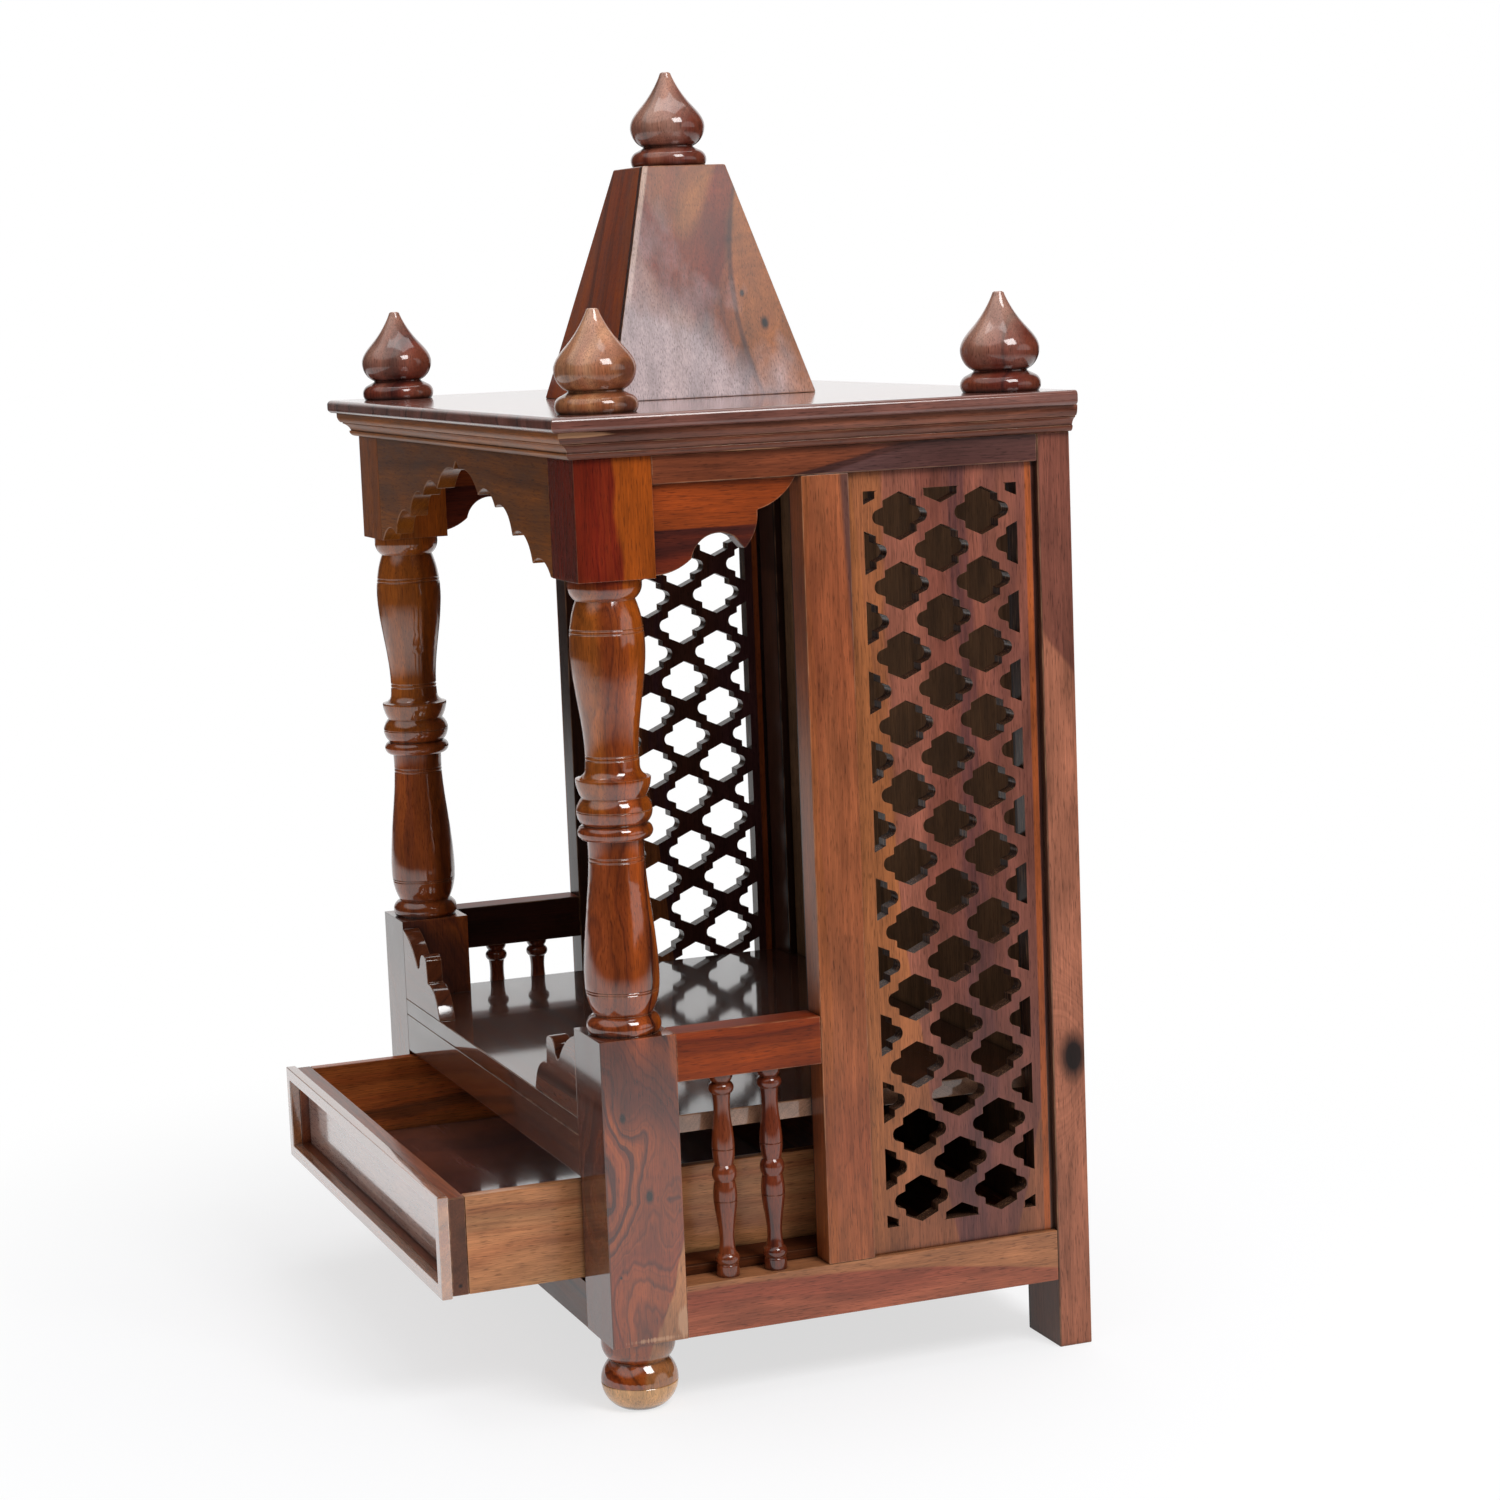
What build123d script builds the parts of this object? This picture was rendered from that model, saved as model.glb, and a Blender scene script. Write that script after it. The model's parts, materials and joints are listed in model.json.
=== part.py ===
from build123d import *
import math
import os

# A free-standing home shrine in solid wood: a case on four legs with turned front posts, pierced side
# panels, a cusped front arch, a drawer under its deck, and a hipped tower with five turned finials on top.
# Millimetres, +Z up, the front faces -Y. The origin is on the floor, at the middle of the ground that the
# case and its drawer, drawn out as it stands, cover together.

# Case
case_width = 460.0
case_depth = 302.0
foot_height = 41.5
block_lower_top = 219.5
block_upper_height = 68.0
case_top = 545.5

# Posts
post_side = 45.5
rear_post_width = 43.0
rear_post_depth = 21.0

# Side frames
frame_thickness = 20.0
rail_bottom_height = 30.7
rail_top_height = 16.2
handrail_height = 28.0
stile_offset = 134.0
stile_width = 29.0
spindle_radius = 7.4

# Pierced panels
jali_thickness = 10.0
jali_setback = 4.0
jali_margin_front = 10.0
jali_margin_back = 12.0
jali_margin_top = 11.5
jali_margin_bottom = 15.5
jali_pitch_y = 25.65
jali_pitch_z = 40.0
jali_least_cut = 2.0
hole_half_width = 10.4
hole_shoulder = 9.3
hole_tip = 14.0
lobe_root = 5.5
lobe_neck = 15.2
lobe_end = 3.6
lobe_reach = 17.0

# Front
arch_thickness = 12.0
bracket_thickness = 12.0
bracket_setback = 4.0
bracket_raise = 1.0
horn_thickness = 11.0
horn_length = 84.0
horn_drop = 4.5
front_rail_thickness = 20.0
drawer_opening_bottom = 69.0
drawer_opening_top = 131.5
deck_thickness = 10.5
deck_top = 167.0

# Back
back_thickness = 8.0
back_setback = 8.0

# Top
cornice_height = 15.5
cornice_reach = 11.6
cornice_lip = 1.4
cornice_round_height = 4.9
cornice_round_depth = 1.8
cornice_step = 1.3
cornice_fillet = 0.9
cornice_cove_height = 4.8
cornice_cove_depth = 4.4
cornice_bead_proud = 0.9
cornice_bead_depth = 2.6
board_thickness = 8.5
board_overhang = 16.5
board_rear_setback = 2.0
board_round = 3.0

# Tower and finials
tower_base = 132.0
tower_top = 54.0
tower_height = 140.5
tower_wall = 10.0
tower_cap_depth = 12.0
finial_radius = 23.4
finial_height = 57.5
rear_finial_inset = 32.0

# Drawer
drawer_pull = 85.5
drawer_side_gap = 1.5
drawer_height_gap = 1.0
drawer_depth = 275.0
lip_thickness = 6.3
lip_width = 8.0
lip_proud = 1.5
drawer_front_thickness = 9.9
drawer_panel_thickness = 4.2
drawer_board = 8.0
drawer_bottom_thickness = 5.0
drawer_bottom_raise = 3.5
runner_gap = 0.3
runner_width = 30.0
runner_height = 13.0
runner_guide = 6.0
guide_gap = 1.2
bottom_board_thickness = 6.0

# Places worked out from the sizes
half_width = case_width / 2
block_upper_bottom = case_top - block_upper_height
back_y = (case_depth + drawer_pull) / 2
front_y = back_y - case_depth
post_inner_x = half_width - post_side
post_back_y = front_y + post_side
rear_post_y = back_y - rear_post_depth
rear_post_x = half_width - rear_post_width
frame_inner_x = half_width - frame_thickness
rail_bottom_top = foot_height + rail_bottom_height
rail_top_bottom = case_top - rail_top_height
handrail_bottom = block_lower_top - handrail_height
stile_front_y = front_y + stile_offset
stile_back_y = stile_front_y + stile_width
deck_bottom = deck_top - deck_thickness
back_panel_y = back_y - back_setback - back_thickness
board_bottom = case_top + cornice_height
board_top = board_bottom + board_thickness
post_x = half_width - post_side / 2
post_y = front_y + post_side / 2
rear_finial_y = back_y - rear_finial_inset
tower_y = (post_y + rear_finial_y) / 2


def slab(x_range, y_range, z_range):
    """A box between two values on each axis."""
    (x0, x1), (y0, y1), (z0, z1) = x_range, y_range, z_range
    middle = Pos((x0 + x1) / 2, (y0 + y1) / 2, (z0 + z1) / 2)
    return middle * Box(x1 - x0, y1 - y0, z1 - z0)


def mirrored(shape):
    """The same piece on the other side of the middle plane."""
    return mirror(shape, about=Plane.YZ)


def turned(curves):
    """A solid turned about Z from outline curves that run from the axis round to the axis, in (radius, z)."""
    start = curves[0] @ 0
    end = curves[-1] @ 1
    return revolve(make_face(curves + [Line(end, start)]), Axis.Z)


def point(radius, height):
    """A point of a turned outline."""
    return (radius, 0, height)


def line(*points):
    """Straight stretches of a turned outline."""
    return [Line(point(*a), point(*b)) for a, b in zip(points, points[1:])]


def arc(start, middle, end):
    """A round stretch of a turned outline."""
    return [ThreePointArc(point(*start), point(*middle), point(*end))]


def curve(*points):
    """A swelling stretch of a turned outline."""
    return [Spline([point(*each) for each in points])]


def front_post():
    """One front post, turned and squared from one piece: ball foot, block, column and upper block."""
    r = post_side / 2
    neck = 0.74 * r
    belly = 0.94 * r
    waist = 0.68 * r
    torus_height = 11.0
    low_bead_height = 8.4
    middle_bead_height = 15.2
    cup_height = 9.4
    lip_height = 1.6
    collar_height = 11.7
    rings_height = low_bead_height + middle_bead_height + cup_height + lip_height
    column = block_upper_bottom - block_lower_top
    vase_height = (column - torus_height - rings_height - collar_height) / 2

    lower = foot_height
    foot = (
        line((0, 0), (0.57 * r, 0))
        + arc((0.57 * r, 0), (0.985 * r, 0.38 * lower), (neck, 0.67 * lower))
        + arc((neck, 0.67 * lower), (0.87 * r, 0.75 * lower), (0.95 * r, 0.9 * lower))
        + line((0.95 * r, 0.9 * lower), (0.95 * r, lower), (0, lower))
    )

    base = block_lower_top
    vase = base + torus_height
    rings = vase + vase_height
    middle_bead = rings + low_bead_height
    cup = middle_bead + middle_bead_height
    lip = cup + cup_height
    upper = lip + lip_height
    collar = upper + vase_height
    head = 0.925 * r
    band = collar + 0.68 * collar_height
    shaft = (
        line((0, base), (0.88 * r, base))
        + arc((0.88 * r, base), (belly, base + 0.45 * torus_height), (neck, vase))
        + curve(
            (neck, vase),
            (0.9 * r, vase + 0.1 * vase_height),
            (belly, vase + 0.26 * vase_height),
            (0.8 * r, vase + 0.62 * vase_height),
            (0.71 * r, rings),
        )
        + line((0.71 * r, rings), (0.82 * r, rings))
        + arc((0.82 * r, rings), (belly, rings + 0.43 * low_bead_height), (0.8 * r, middle_bead))
        + arc((0.8 * r, middle_bead), (0.95 * r, (middle_bead + cup) / 2), (0.8 * r, cup))
        + arc((0.8 * r, cup), (0.88 * r, cup + 0.4 * cup_height), (belly, lip))
        + line((belly, lip), (belly, upper))
        + arc((belly, upper), (0.75 * r, upper + 0.02 * vase_height), (waist, upper + 0.06 * vase_height))
        + curve(
            (waist, upper + 0.06 * vase_height),
            (0.73 * r, upper + 0.32 * vase_height),
            (belly, upper + 0.75 * vase_height),
            (neck, collar),
        )
        + arc((neck, collar), (0.86 * r, collar + 0.26 * collar_height), (head, band))
        + line((head, band), (head, block_upper_bottom), (0, block_upper_bottom))
    )
    blocks = [
        Pos(0, 0, (z0 + z1) / 2) * Box(post_side, post_side, z1 - z0)
        for z0, z1 in ((foot_height, block_lower_top), (block_upper_bottom, case_top))
    ]
    return Pos(post_x, post_y, 0) * (turned(foot) + blocks[0] + turned(shaft) + blocks[1])


def rear_post():
    """One plain rear post."""
    return slab((rear_post_x, half_width), (rear_post_y, back_y), (0, case_top))


def spindle():
    """One turned spindle that stands on the bottom rail and carries the handrail."""
    height = handrail_bottom - rail_bottom_top
    r = spindle_radius

    def at(share, rise):
        """A point at a share of the spindle's radius and of its height."""
        return (share * r, rise * height)

    outline = (
        line(at(0, 0), at(0.9, 0), at(0.9, 0.05), at(0.8, 0.06))
        + arc(at(0.8, 0.06), at(0.96, 0.085), at(0.72, 0.113))
        + curve(at(0.72, 0.113), at(0.58, 0.18), at(0.9, 0.35), at(0.8, 0.47))
        + arc(at(0.8, 0.47), at(0.97, 0.51), at(0.72, 0.55))
        + curve(at(0.72, 0.55), at(0.9, 0.63), at(0.65, 0.85), at(0.74, 0.9))
        + arc(at(0.74, 0.9), at(1, 0.93), at(0.72, 0.957))
        + arc(at(0.72, 0.957), at(0.82, 0.966), at(0.95, 0.985))
        + line(at(0.95, 0.985), at(0.95, 1), at(0, 1))
    )
    return Pos(0, 0, rail_bottom_top) * turned(outline)


def spindle_pair():
    """Two spindles that divide the bay between post and stile in three."""
    bay = stile_front_y - post_back_y
    x = half_width - frame_thickness / 2
    return Compound([Pos(x, post_back_y + bay * part / 3, 0) * spindle() for part in (1, 2)])


def jali_hole():
    """One hole of the pierced panel: pointed above and below, with a round-ended lobe each side."""
    quarter = [
        Line((0, hole_tip), (hole_half_width, hole_shoulder)),
        Line((hole_half_width, hole_shoulder), (hole_half_width, lobe_root)),
        Line((hole_half_width, lobe_root), (lobe_neck, lobe_end)),
    ]
    end = ThreePointArc((lobe_neck, lobe_end), (lobe_reach, 0), (lobe_neck, -lobe_end))
    half = quarter + [end] + [mirror(edge, about=Plane.XZ) for edge in quarter]
    return make_face(half + [mirror(edge, about=Plane.YZ) for edge in half])


def jali():
    """One pierced panel, its staggered holes cut off at the plain border."""
    field_y = (stile_back_y + jali_margin_front, rear_post_y - jali_margin_back)
    field_z = (rail_bottom_top + jali_margin_bottom, rail_top_bottom - jali_margin_top)
    field_width = field_y[1] - field_y[0]
    field_height = field_z[1] - field_z[0]
    columns = math.ceil((field_width / 2 + lobe_reach) / jali_pitch_y)
    rows = math.ceil((field_height / 2 + hole_tip) / jali_pitch_z)
    holes = []
    for column in range(-columns, columns + 1):
        stagger = jali_pitch_z / 2 if column % 2 == 0 else 0
        for row in range(-rows, rows + 1):
            y = column * jali_pitch_y
            z = row * jali_pitch_z + stagger
            cut_y = field_width / 2 - abs(y) + lobe_reach
            cut_z = field_height / 2 - abs(z) + hole_tip
            if cut_y > jali_least_cut and cut_z > jali_least_cut:
                holes.append(Pos(y, z) * jali_hole())
    cut = (Sketch() + holes) & Rectangle(field_width, field_height)
    x = half_width - jali_setback - jali_thickness
    plate = slab((x, x + jali_thickness), (stile_back_y, rear_post_y), (rail_bottom_top, rail_top_bottom))
    middle = Plane.YZ.offset(x) * Pos(sum(field_y) / 2, sum(field_z) / 2)
    return plate - extrude(middle * cut, jali_thickness)


def side_bracket():
    """The scroll-cut bracket under the top rail, from the post's upper block to the stile."""
    x = half_width - bracket_setback - bracket_thickness
    left = post_back_y
    top = rail_top_bottom
    bottom = block_upper_bottom + bracket_raise
    bay = stile_front_y - left
    drop = top - bottom

    def at(share, depth):
        """A point at a share of the bay's width and of the bracket's depth."""
        return (x, left + share * bay, top - depth * drop)

    edges = [
        Line(at(0, 0), at(0, 1)),
        ThreePointArc(at(0, 1), at(0.14, 0.96), at(0.26, 0.84)),
        ThreePointArc(at(0.26, 0.84), at(0.42, 0.58), at(0.55, 0.63)),
        Line(at(0.55, 0.63), at(0.62, 0.77)),
        ThreePointArc(at(0.62, 0.77), at(0.69, 0.6), at(0.715, 0.35)),
        Line(at(0.715, 0.35), at(0.76, 0.33)),
        ThreePointArc(at(0.76, 0.33), at(0.89, 0.2), at(0.985, 0)),
        Line(at(0.985, 0), at(0, 0)),
    ]
    return extrude(make_face(edges), bracket_thickness, dir=(1, 0, 0))


def front_arch():
    """The cusped arch board between the posts' upper blocks: a pointed middle foil and four lobes a side."""
    half = post_inner_x
    height = case_top - block_upper_bottom

    def at(share, rise):
        """A point at a share of the half span and of the board's height."""
        return (share * half, front_y, block_upper_bottom + rise * height)

    tip = at(0, 0.87)
    neck = at(0.035, 0.79)
    cusps = [at(0.241, 0.59), at(0.425, 0.505), at(0.6, 0.285), at(0.8, 0.085), at(0.98, 0)]
    crowns = [at(0.315, 0.655), at(0.53, 0.505), at(0.71, 0.32), at(0.9, 0.13)]
    edges = [Line(tip, neck), ThreePointArc(neck, at(0.175, 0.735), cusps[0])]
    for start, crown, end in zip(cusps, crowns, cusps[1:]):
        edges.append(ThreePointArc(start, crown, end))
    edges.append(Line(cusps[-1], at(1, 0)))
    edges.append(Line(at(1, 0), at(1, 1)))
    edges.append(Line(at(1, 1), at(0, 1)))
    edges.append(Line(at(0, 1), tip))
    half_board = extrude(make_face(edges), arch_thickness, dir=(0, 1, 0))
    return half_board + mirrored(half_board)


def horn():
    """The scroll-cut horn that stands on the deck against a front post."""
    height = block_lower_top - horn_drop - deck_top

    def at(share, rise):
        """A point at a share of the horn's length from the post and of its height."""
        return (post_inner_x - share * horn_length, front_y, deck_top + rise * height)

    edges = [
        Line(at(0, 0), at(0, 1)),
        ThreePointArc(at(0, 1), at(0.22, 0.83), at(0.36, 0.62)),
        ThreePointArc(at(0.36, 0.62), at(0.41, 0.565), at(0.46, 0.65)),
        ThreePointArc(at(0.46, 0.65), at(0.56, 0.8), at(0.65, 0.74)),
        Line(at(0.65, 0.74), at(0.67, 0.43)),
        ThreePointArc(at(0.67, 0.43), at(0.82, 0.37), at(0.93, 0.16)),
        Line(at(0.93, 0.16), at(0.97, 0)),
        Line(at(0.97, 0), at(0, 0)),
    ]
    return extrude(make_face(edges), horn_thickness, dir=(0, 1, 0))


def deck():
    """The deck, notched round the four posts."""
    board = slab((-frame_inner_x, frame_inner_x), (front_y, back_panel_y), (deck_bottom, deck_top))
    front_notch = slab((post_inner_x, half_width), (front_y, post_back_y), (deck_bottom, deck_top))
    rear_notch = slab((rear_post_x, half_width), (rear_post_y, back_y), (deck_bottom, deck_top))
    return board - front_notch - mirrored(front_notch) - rear_notch - mirrored(rear_notch)


def cornice_outline(plane):
    """The moulding's section, a round, a cove and a bead, on a plane whose X points outward."""
    inner = -frame_thickness
    lip = (cornice_reach, cornice_height - cornice_lip)
    round_end = (cornice_reach - cornice_round_depth, lip[1] - cornice_round_height)
    round_middle = (cornice_reach - 0.3 * cornice_round_depth, lip[1] - 0.6 * cornice_round_height)
    cove_start = (round_end[0] - cornice_step, round_end[1] - cornice_fillet)
    cove_end = (cove_start[0] - cornice_cove_depth, cove_start[1] - cornice_cove_height)
    cove_middle = (cove_start[0] - 0.65 * cornice_cove_depth, cove_start[1] - 0.4 * cornice_cove_height)
    bead_start = (cove_end[0] + cornice_bead_proud, cove_end[1])
    bead_end = (bead_start[0] - cornice_bead_depth, 0)
    bead_middle = (bead_start[0] - 0.2 * cornice_bead_depth, 0.4 * bead_start[1])
    with BuildSketch(plane) as section:
        with BuildLine():
            Polyline(bead_end, (inner, 0), (inner, cornice_height), (cornice_reach, cornice_height), lip)
            ThreePointArc(lip, round_middle, round_end)
            Polyline(round_end, (cove_start[0], round_end[1]), cove_start)
            ThreePointArc(cove_start, cove_middle, cove_end)
            Line(cove_end, bead_start)
            ThreePointArc(bead_start, bead_middle, bead_end)
        make_face()
    return section.sketch


def cornice_front():
    """The front cornice moulding, mitred at both ends."""
    length = case_width + 2 * board_overhang
    plane = Plane(origin=(length / 2, front_y, case_top), x_dir=(0, -1, 0), z_dir=(-1, 0, 0))
    return extrude(cornice_outline(plane), length) & mitre_front()


def mitre_front():
    """The wedge that the front moulding keeps between its two mitres."""
    reach = board_overhang
    inner = frame_thickness
    corners = [
        (-half_width - reach, front_y - reach),
        (half_width + reach, front_y - reach),
        (half_width - inner, front_y + inner),
        (-half_width + inner, front_y + inner),
    ]
    return Pos(0, 0, case_top) * extrude(make_face(Polyline(*corners, close=True)), cornice_height)


def cornice_side():
    """A side cornice moulding, mitred at the front and cut square at the back."""
    length = case_depth + board_overhang
    plane = Plane(origin=(half_width, back_y, case_top), x_dir=(1, 0, 0), z_dir=(0, -1, 0))
    return extrude(cornice_outline(plane), length) - mitre_front()


def top_board():
    """The top board, its front and side edges rounded."""
    board = slab(
        (-half_width - board_overhang, half_width + board_overhang),
        (front_y - board_overhang, back_y - board_rear_setback),
        (board_bottom, board_top),
    )
    rounded = [
        edge
        for edge in board.edges()
        if abs(edge.center().Z - (board_bottom + board_top) / 2) > 1
        and edge.center().Y < back_y - board_rear_setback - 1
    ]
    return fillet(rounded, board_round)


def tower_wall_solid():
    """The front wall of the tower, a tapered board mitred at both sides."""
    run = (tower_base - tower_top) / 2
    slope = math.hypot(run, tower_height) / tower_height
    inset = tower_wall * slope
    front = -tower_base / 2
    outer_top = -tower_top / 2

    def level(edge, back, z):
        """The wall's plan at one height, between two mitres."""
        points = [(edge, edge), (-edge, edge), (-back, back), (back, back)]
        return Pos(0, tower_y, z) * make_face(Polyline(*points, close=True))

    bottom = level(front, front + inset, board_top)
    top = level(outer_top, outer_top + inset, board_top + tower_height)
    return loft([bottom, top], ruled=True)


def tower_turned(quarter):
    """One of the tower's four walls, turned by quarters about the tower's middle."""
    return Pos(0, tower_y, 0) * Rot(0, 0, 90 * quarter) * Pos(0, -tower_y, 0) * tower_wall_solid()


def tower_cap():
    """The block that closes the tower's top and takes the finial, let in flush between the walls."""
    run = (tower_base - tower_top) / 2
    lean = run / tower_height
    slope = math.hypot(run, tower_height) / tower_height
    top_half = tower_top / 2 - tower_wall * slope
    bottom_half = top_half + lean * tower_cap_depth
    top = board_top + tower_height
    faces = [
        Pos(0, tower_y, z) * Rectangle(2 * half, 2 * half)
        for half, z in ((bottom_half, top - tower_cap_depth), (top_half, top))
    ]
    return loft(faces, ruled=True)


def finial():
    """One turned onion finial on its ring."""
    r = finial_radius
    h = finial_height
    neck = 0.67 * r
    outline = (
        line((0, 0), (0.94 * r, 0))
        + arc((0.94 * r, 0), (r, 0.085 * h), (0.84 * r, 0.17 * h))
        + line((0.84 * r, 0.17 * h), (neck, 0.205 * h), (neck, 0.217 * h))
        + curve(
            (neck, 0.217 * h),
            (0.9 * r, 0.3 * h),
            (0.985 * r, 0.43 * h),
            (0.6 * r, 0.68 * h),
            (0.27 * r, 0.875 * h),
            (0.14 * r, 0.99 * h),
        )
        + line((0.14 * r, 0.99 * h), (0.1 * r, h), (0, h))
    )
    return turned(outline)


def drawer_parts():
    """The drawer's pieces, drawn out from the case by its pull."""
    half = post_inner_x - drawer_side_gap
    face = front_y - drawer_pull
    board_face = face + lip_thickness
    box_face = board_face + drawer_front_thickness
    rear = face + drawer_depth
    low = drawer_opening_bottom + drawer_height_gap
    high = drawer_opening_top - drawer_height_gap
    box_low = low + lip_proud
    box_high = high - lip_proud
    window = ((lip_width - half, half - lip_width), (low + lip_width, high - lip_width))
    inner = half - drawer_board
    bottom = box_low + drawer_bottom_raise
    panel_face = box_face - drawer_panel_thickness

    lip = slab((-half, half), (face, board_face), (low, high))
    lip -= slab(window[0], (face, board_face), window[1])
    front = slab((-half, half), (board_face, box_face), (box_low, box_high))
    front -= slab(window[0], (board_face, box_face), window[1])
    side = slab((inner, half), (box_face, rear), (box_low, box_high))
    return {
        "drawer_lip": lip,
        "drawer_front": front,
        "drawer_panel": slab(window[0], (panel_face, box_face), window[1]),
        "drawer_side_right": side,
        "drawer_side_left": mirrored(side),
        "drawer_back": slab((-inner, inner), (rear - drawer_board, rear), (box_low, box_high)),
        "drawer_bottom": slab(
            (-inner, inner), (box_face, rear - drawer_board), (bottom, bottom + drawer_bottom_thickness)
        ),
    }


def runner():
    """One drawer runner with its low guide, between the front and back bottom rails."""
    drawer_half = post_inner_x - drawer_side_gap
    box_low = drawer_opening_bottom + drawer_height_gap + lip_proud
    top = box_low - runner_gap
    outer = frame_inner_x
    y_range = (post_back_y, rear_post_y)
    base = slab((outer - runner_width, outer), y_range, (top - runner_height, top))
    guide = slab((drawer_half + guide_gap, outer), y_range, (top, top + runner_guide))
    return base + guide


def bottom_board():
    """The board under the runners that closes the case's bottom, notched round the front posts."""
    runner_bottom = drawer_opening_bottom + drawer_height_gap + lip_proud - runner_gap - runner_height
    z_range = (runner_bottom - bottom_board_thickness, runner_bottom)
    start = front_y + front_rail_thickness
    board = slab((-frame_inner_x, frame_inner_x), (start, rear_post_y), z_range)
    notch = slab((post_inner_x, half_width), (start, post_back_y), z_range)
    return board - notch - mirrored(notch)


inside = (-post_inner_x, post_inner_x)
side_x = (frame_inner_x, half_width)
side_y = (post_back_y, rear_post_y)
right_side = {
    "post_front": front_post(),
    "post_rear": rear_post(),
    "side_rail_bottom": slab(side_x, side_y, (foot_height, rail_bottom_top)),
    "side_rail_top": slab(side_x, side_y, (rail_top_bottom, case_top)),
    "side_handrail": slab(side_x, (post_back_y, stile_front_y), (handrail_bottom, block_lower_top)),
    "side_stile": slab(side_x, (stile_front_y, stile_back_y), (rail_bottom_top, rail_top_bottom)),
    "side_spindles": spindle_pair(),
    "side_jali": jali(),
    "side_bracket": side_bracket(),
    "cornice": cornice_side(),
    "drawer_runner": runner(),
    "deck_horn": horn(),
}
rail_y = (front_y, front_y + front_rail_thickness)
back_rail_x = (-rear_post_x, rear_post_x)
back_post_y = (rear_post_y, back_y)
nodes = {
    "front_arch": front_arch(),
    "front_rail_upper": slab(inside, rail_y, (drawer_opening_top, deck_bottom)),
    "front_rail_lower": slab(inside, rail_y, (foot_height, drawer_opening_bottom)),
    "deck": deck(),
    "bottom_board": bottom_board(),
    "back_panel": slab(
        back_rail_x, (back_panel_y, back_panel_y + back_thickness), (rail_bottom_top, case_top)
    ),
    "back_rail_bottom": slab(back_rail_x, back_post_y, (foot_height, rail_bottom_top)),
    "back_rail_top": slab((-frame_inner_x, frame_inner_x), back_post_y, (case_top, board_bottom)),
    "cornice_front": cornice_front(),
    "top_board": top_board(),
    "tower_cap": tower_cap(),
    "finial_tower": Pos(0, tower_y, board_top + tower_height) * finial(),
}
for name, shape in right_side.items():
    nodes[name + "_right"] = shape
    nodes[name + "_left"] = mirrored(shape)
for quarter, name in enumerate(("front", "right", "back", "left")):
    nodes["tower_" + name] = tower_turned(quarter)
for name, y in (("front", post_y), ("rear", rear_finial_y)):
    nodes["finial_" + name + "_right"] = Pos(post_x, y, board_top) * finial()
    nodes["finial_" + name + "_left"] = Pos(-post_x, y, board_top) * finial()
nodes.update(drawer_parts())

os.makedirs("parts", exist_ok=True)
for name, shape in nodes.items():
    export_step(shape, "parts/" + name + ".step")
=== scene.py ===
"""Looks, studio and camera for a home shrine in polished sheesham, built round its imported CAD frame.

Metres, +Z up. The front faces -Y and the drawer is drawn out, as in the CAD model's rest pose.
"""

import json
import logging
import math
from dataclasses import dataclass, replace
from enum import Enum
from typing import ClassVar

import bmesh
import bpy
from mathutils import Euler, Matrix, Vector

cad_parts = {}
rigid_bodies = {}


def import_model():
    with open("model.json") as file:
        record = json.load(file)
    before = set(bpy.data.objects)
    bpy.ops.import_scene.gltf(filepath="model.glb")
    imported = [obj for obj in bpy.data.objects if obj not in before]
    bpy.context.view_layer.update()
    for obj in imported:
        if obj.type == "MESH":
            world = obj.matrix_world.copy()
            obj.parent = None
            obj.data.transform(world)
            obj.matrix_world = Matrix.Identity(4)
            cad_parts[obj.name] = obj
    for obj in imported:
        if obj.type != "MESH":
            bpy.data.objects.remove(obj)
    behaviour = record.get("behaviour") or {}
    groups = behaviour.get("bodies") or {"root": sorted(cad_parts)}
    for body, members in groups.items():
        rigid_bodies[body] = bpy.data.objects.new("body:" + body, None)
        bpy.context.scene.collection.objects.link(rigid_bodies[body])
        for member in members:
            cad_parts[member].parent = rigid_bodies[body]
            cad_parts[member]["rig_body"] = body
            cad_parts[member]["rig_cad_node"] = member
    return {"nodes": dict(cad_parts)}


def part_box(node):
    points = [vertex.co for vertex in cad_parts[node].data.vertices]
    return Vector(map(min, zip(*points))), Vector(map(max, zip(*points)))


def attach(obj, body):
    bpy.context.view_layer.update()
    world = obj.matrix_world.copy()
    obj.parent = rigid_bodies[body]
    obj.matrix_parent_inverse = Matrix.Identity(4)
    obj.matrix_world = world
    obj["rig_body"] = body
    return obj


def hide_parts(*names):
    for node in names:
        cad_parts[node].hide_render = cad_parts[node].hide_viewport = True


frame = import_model()

LOG = logging.getLogger("shrine")
MM = 0.001
WELD = 2e-6  # metres within which vertices are joined
SAME_LEVEL = 1e-6  # metres within which vertices lie at one height
ARRIS_FACES = "arris"  # the face attribute that marks a rounded arris
WHITE = (1.0, 1.0, 1.0, 1.0)
Triple = tuple[float, float, float]


def linear(code: str) -> tuple[float, float, float, float]:
    """Turn an sRGB hex code into the linear colour that a shader takes.

    Args:
        code: The colour as "#RRGGBB".

    Returns:
        Red, green, blue and an alpha of 1.
    """
    parts = [int(code[i : i + 2], 16) / 255 for i in (1, 3, 5)]
    return (*[p / 12.92 if p <= 0.04045 else ((p + 0.055) / 1.055) ** 2.4 for p in parts], 1.0)


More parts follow.
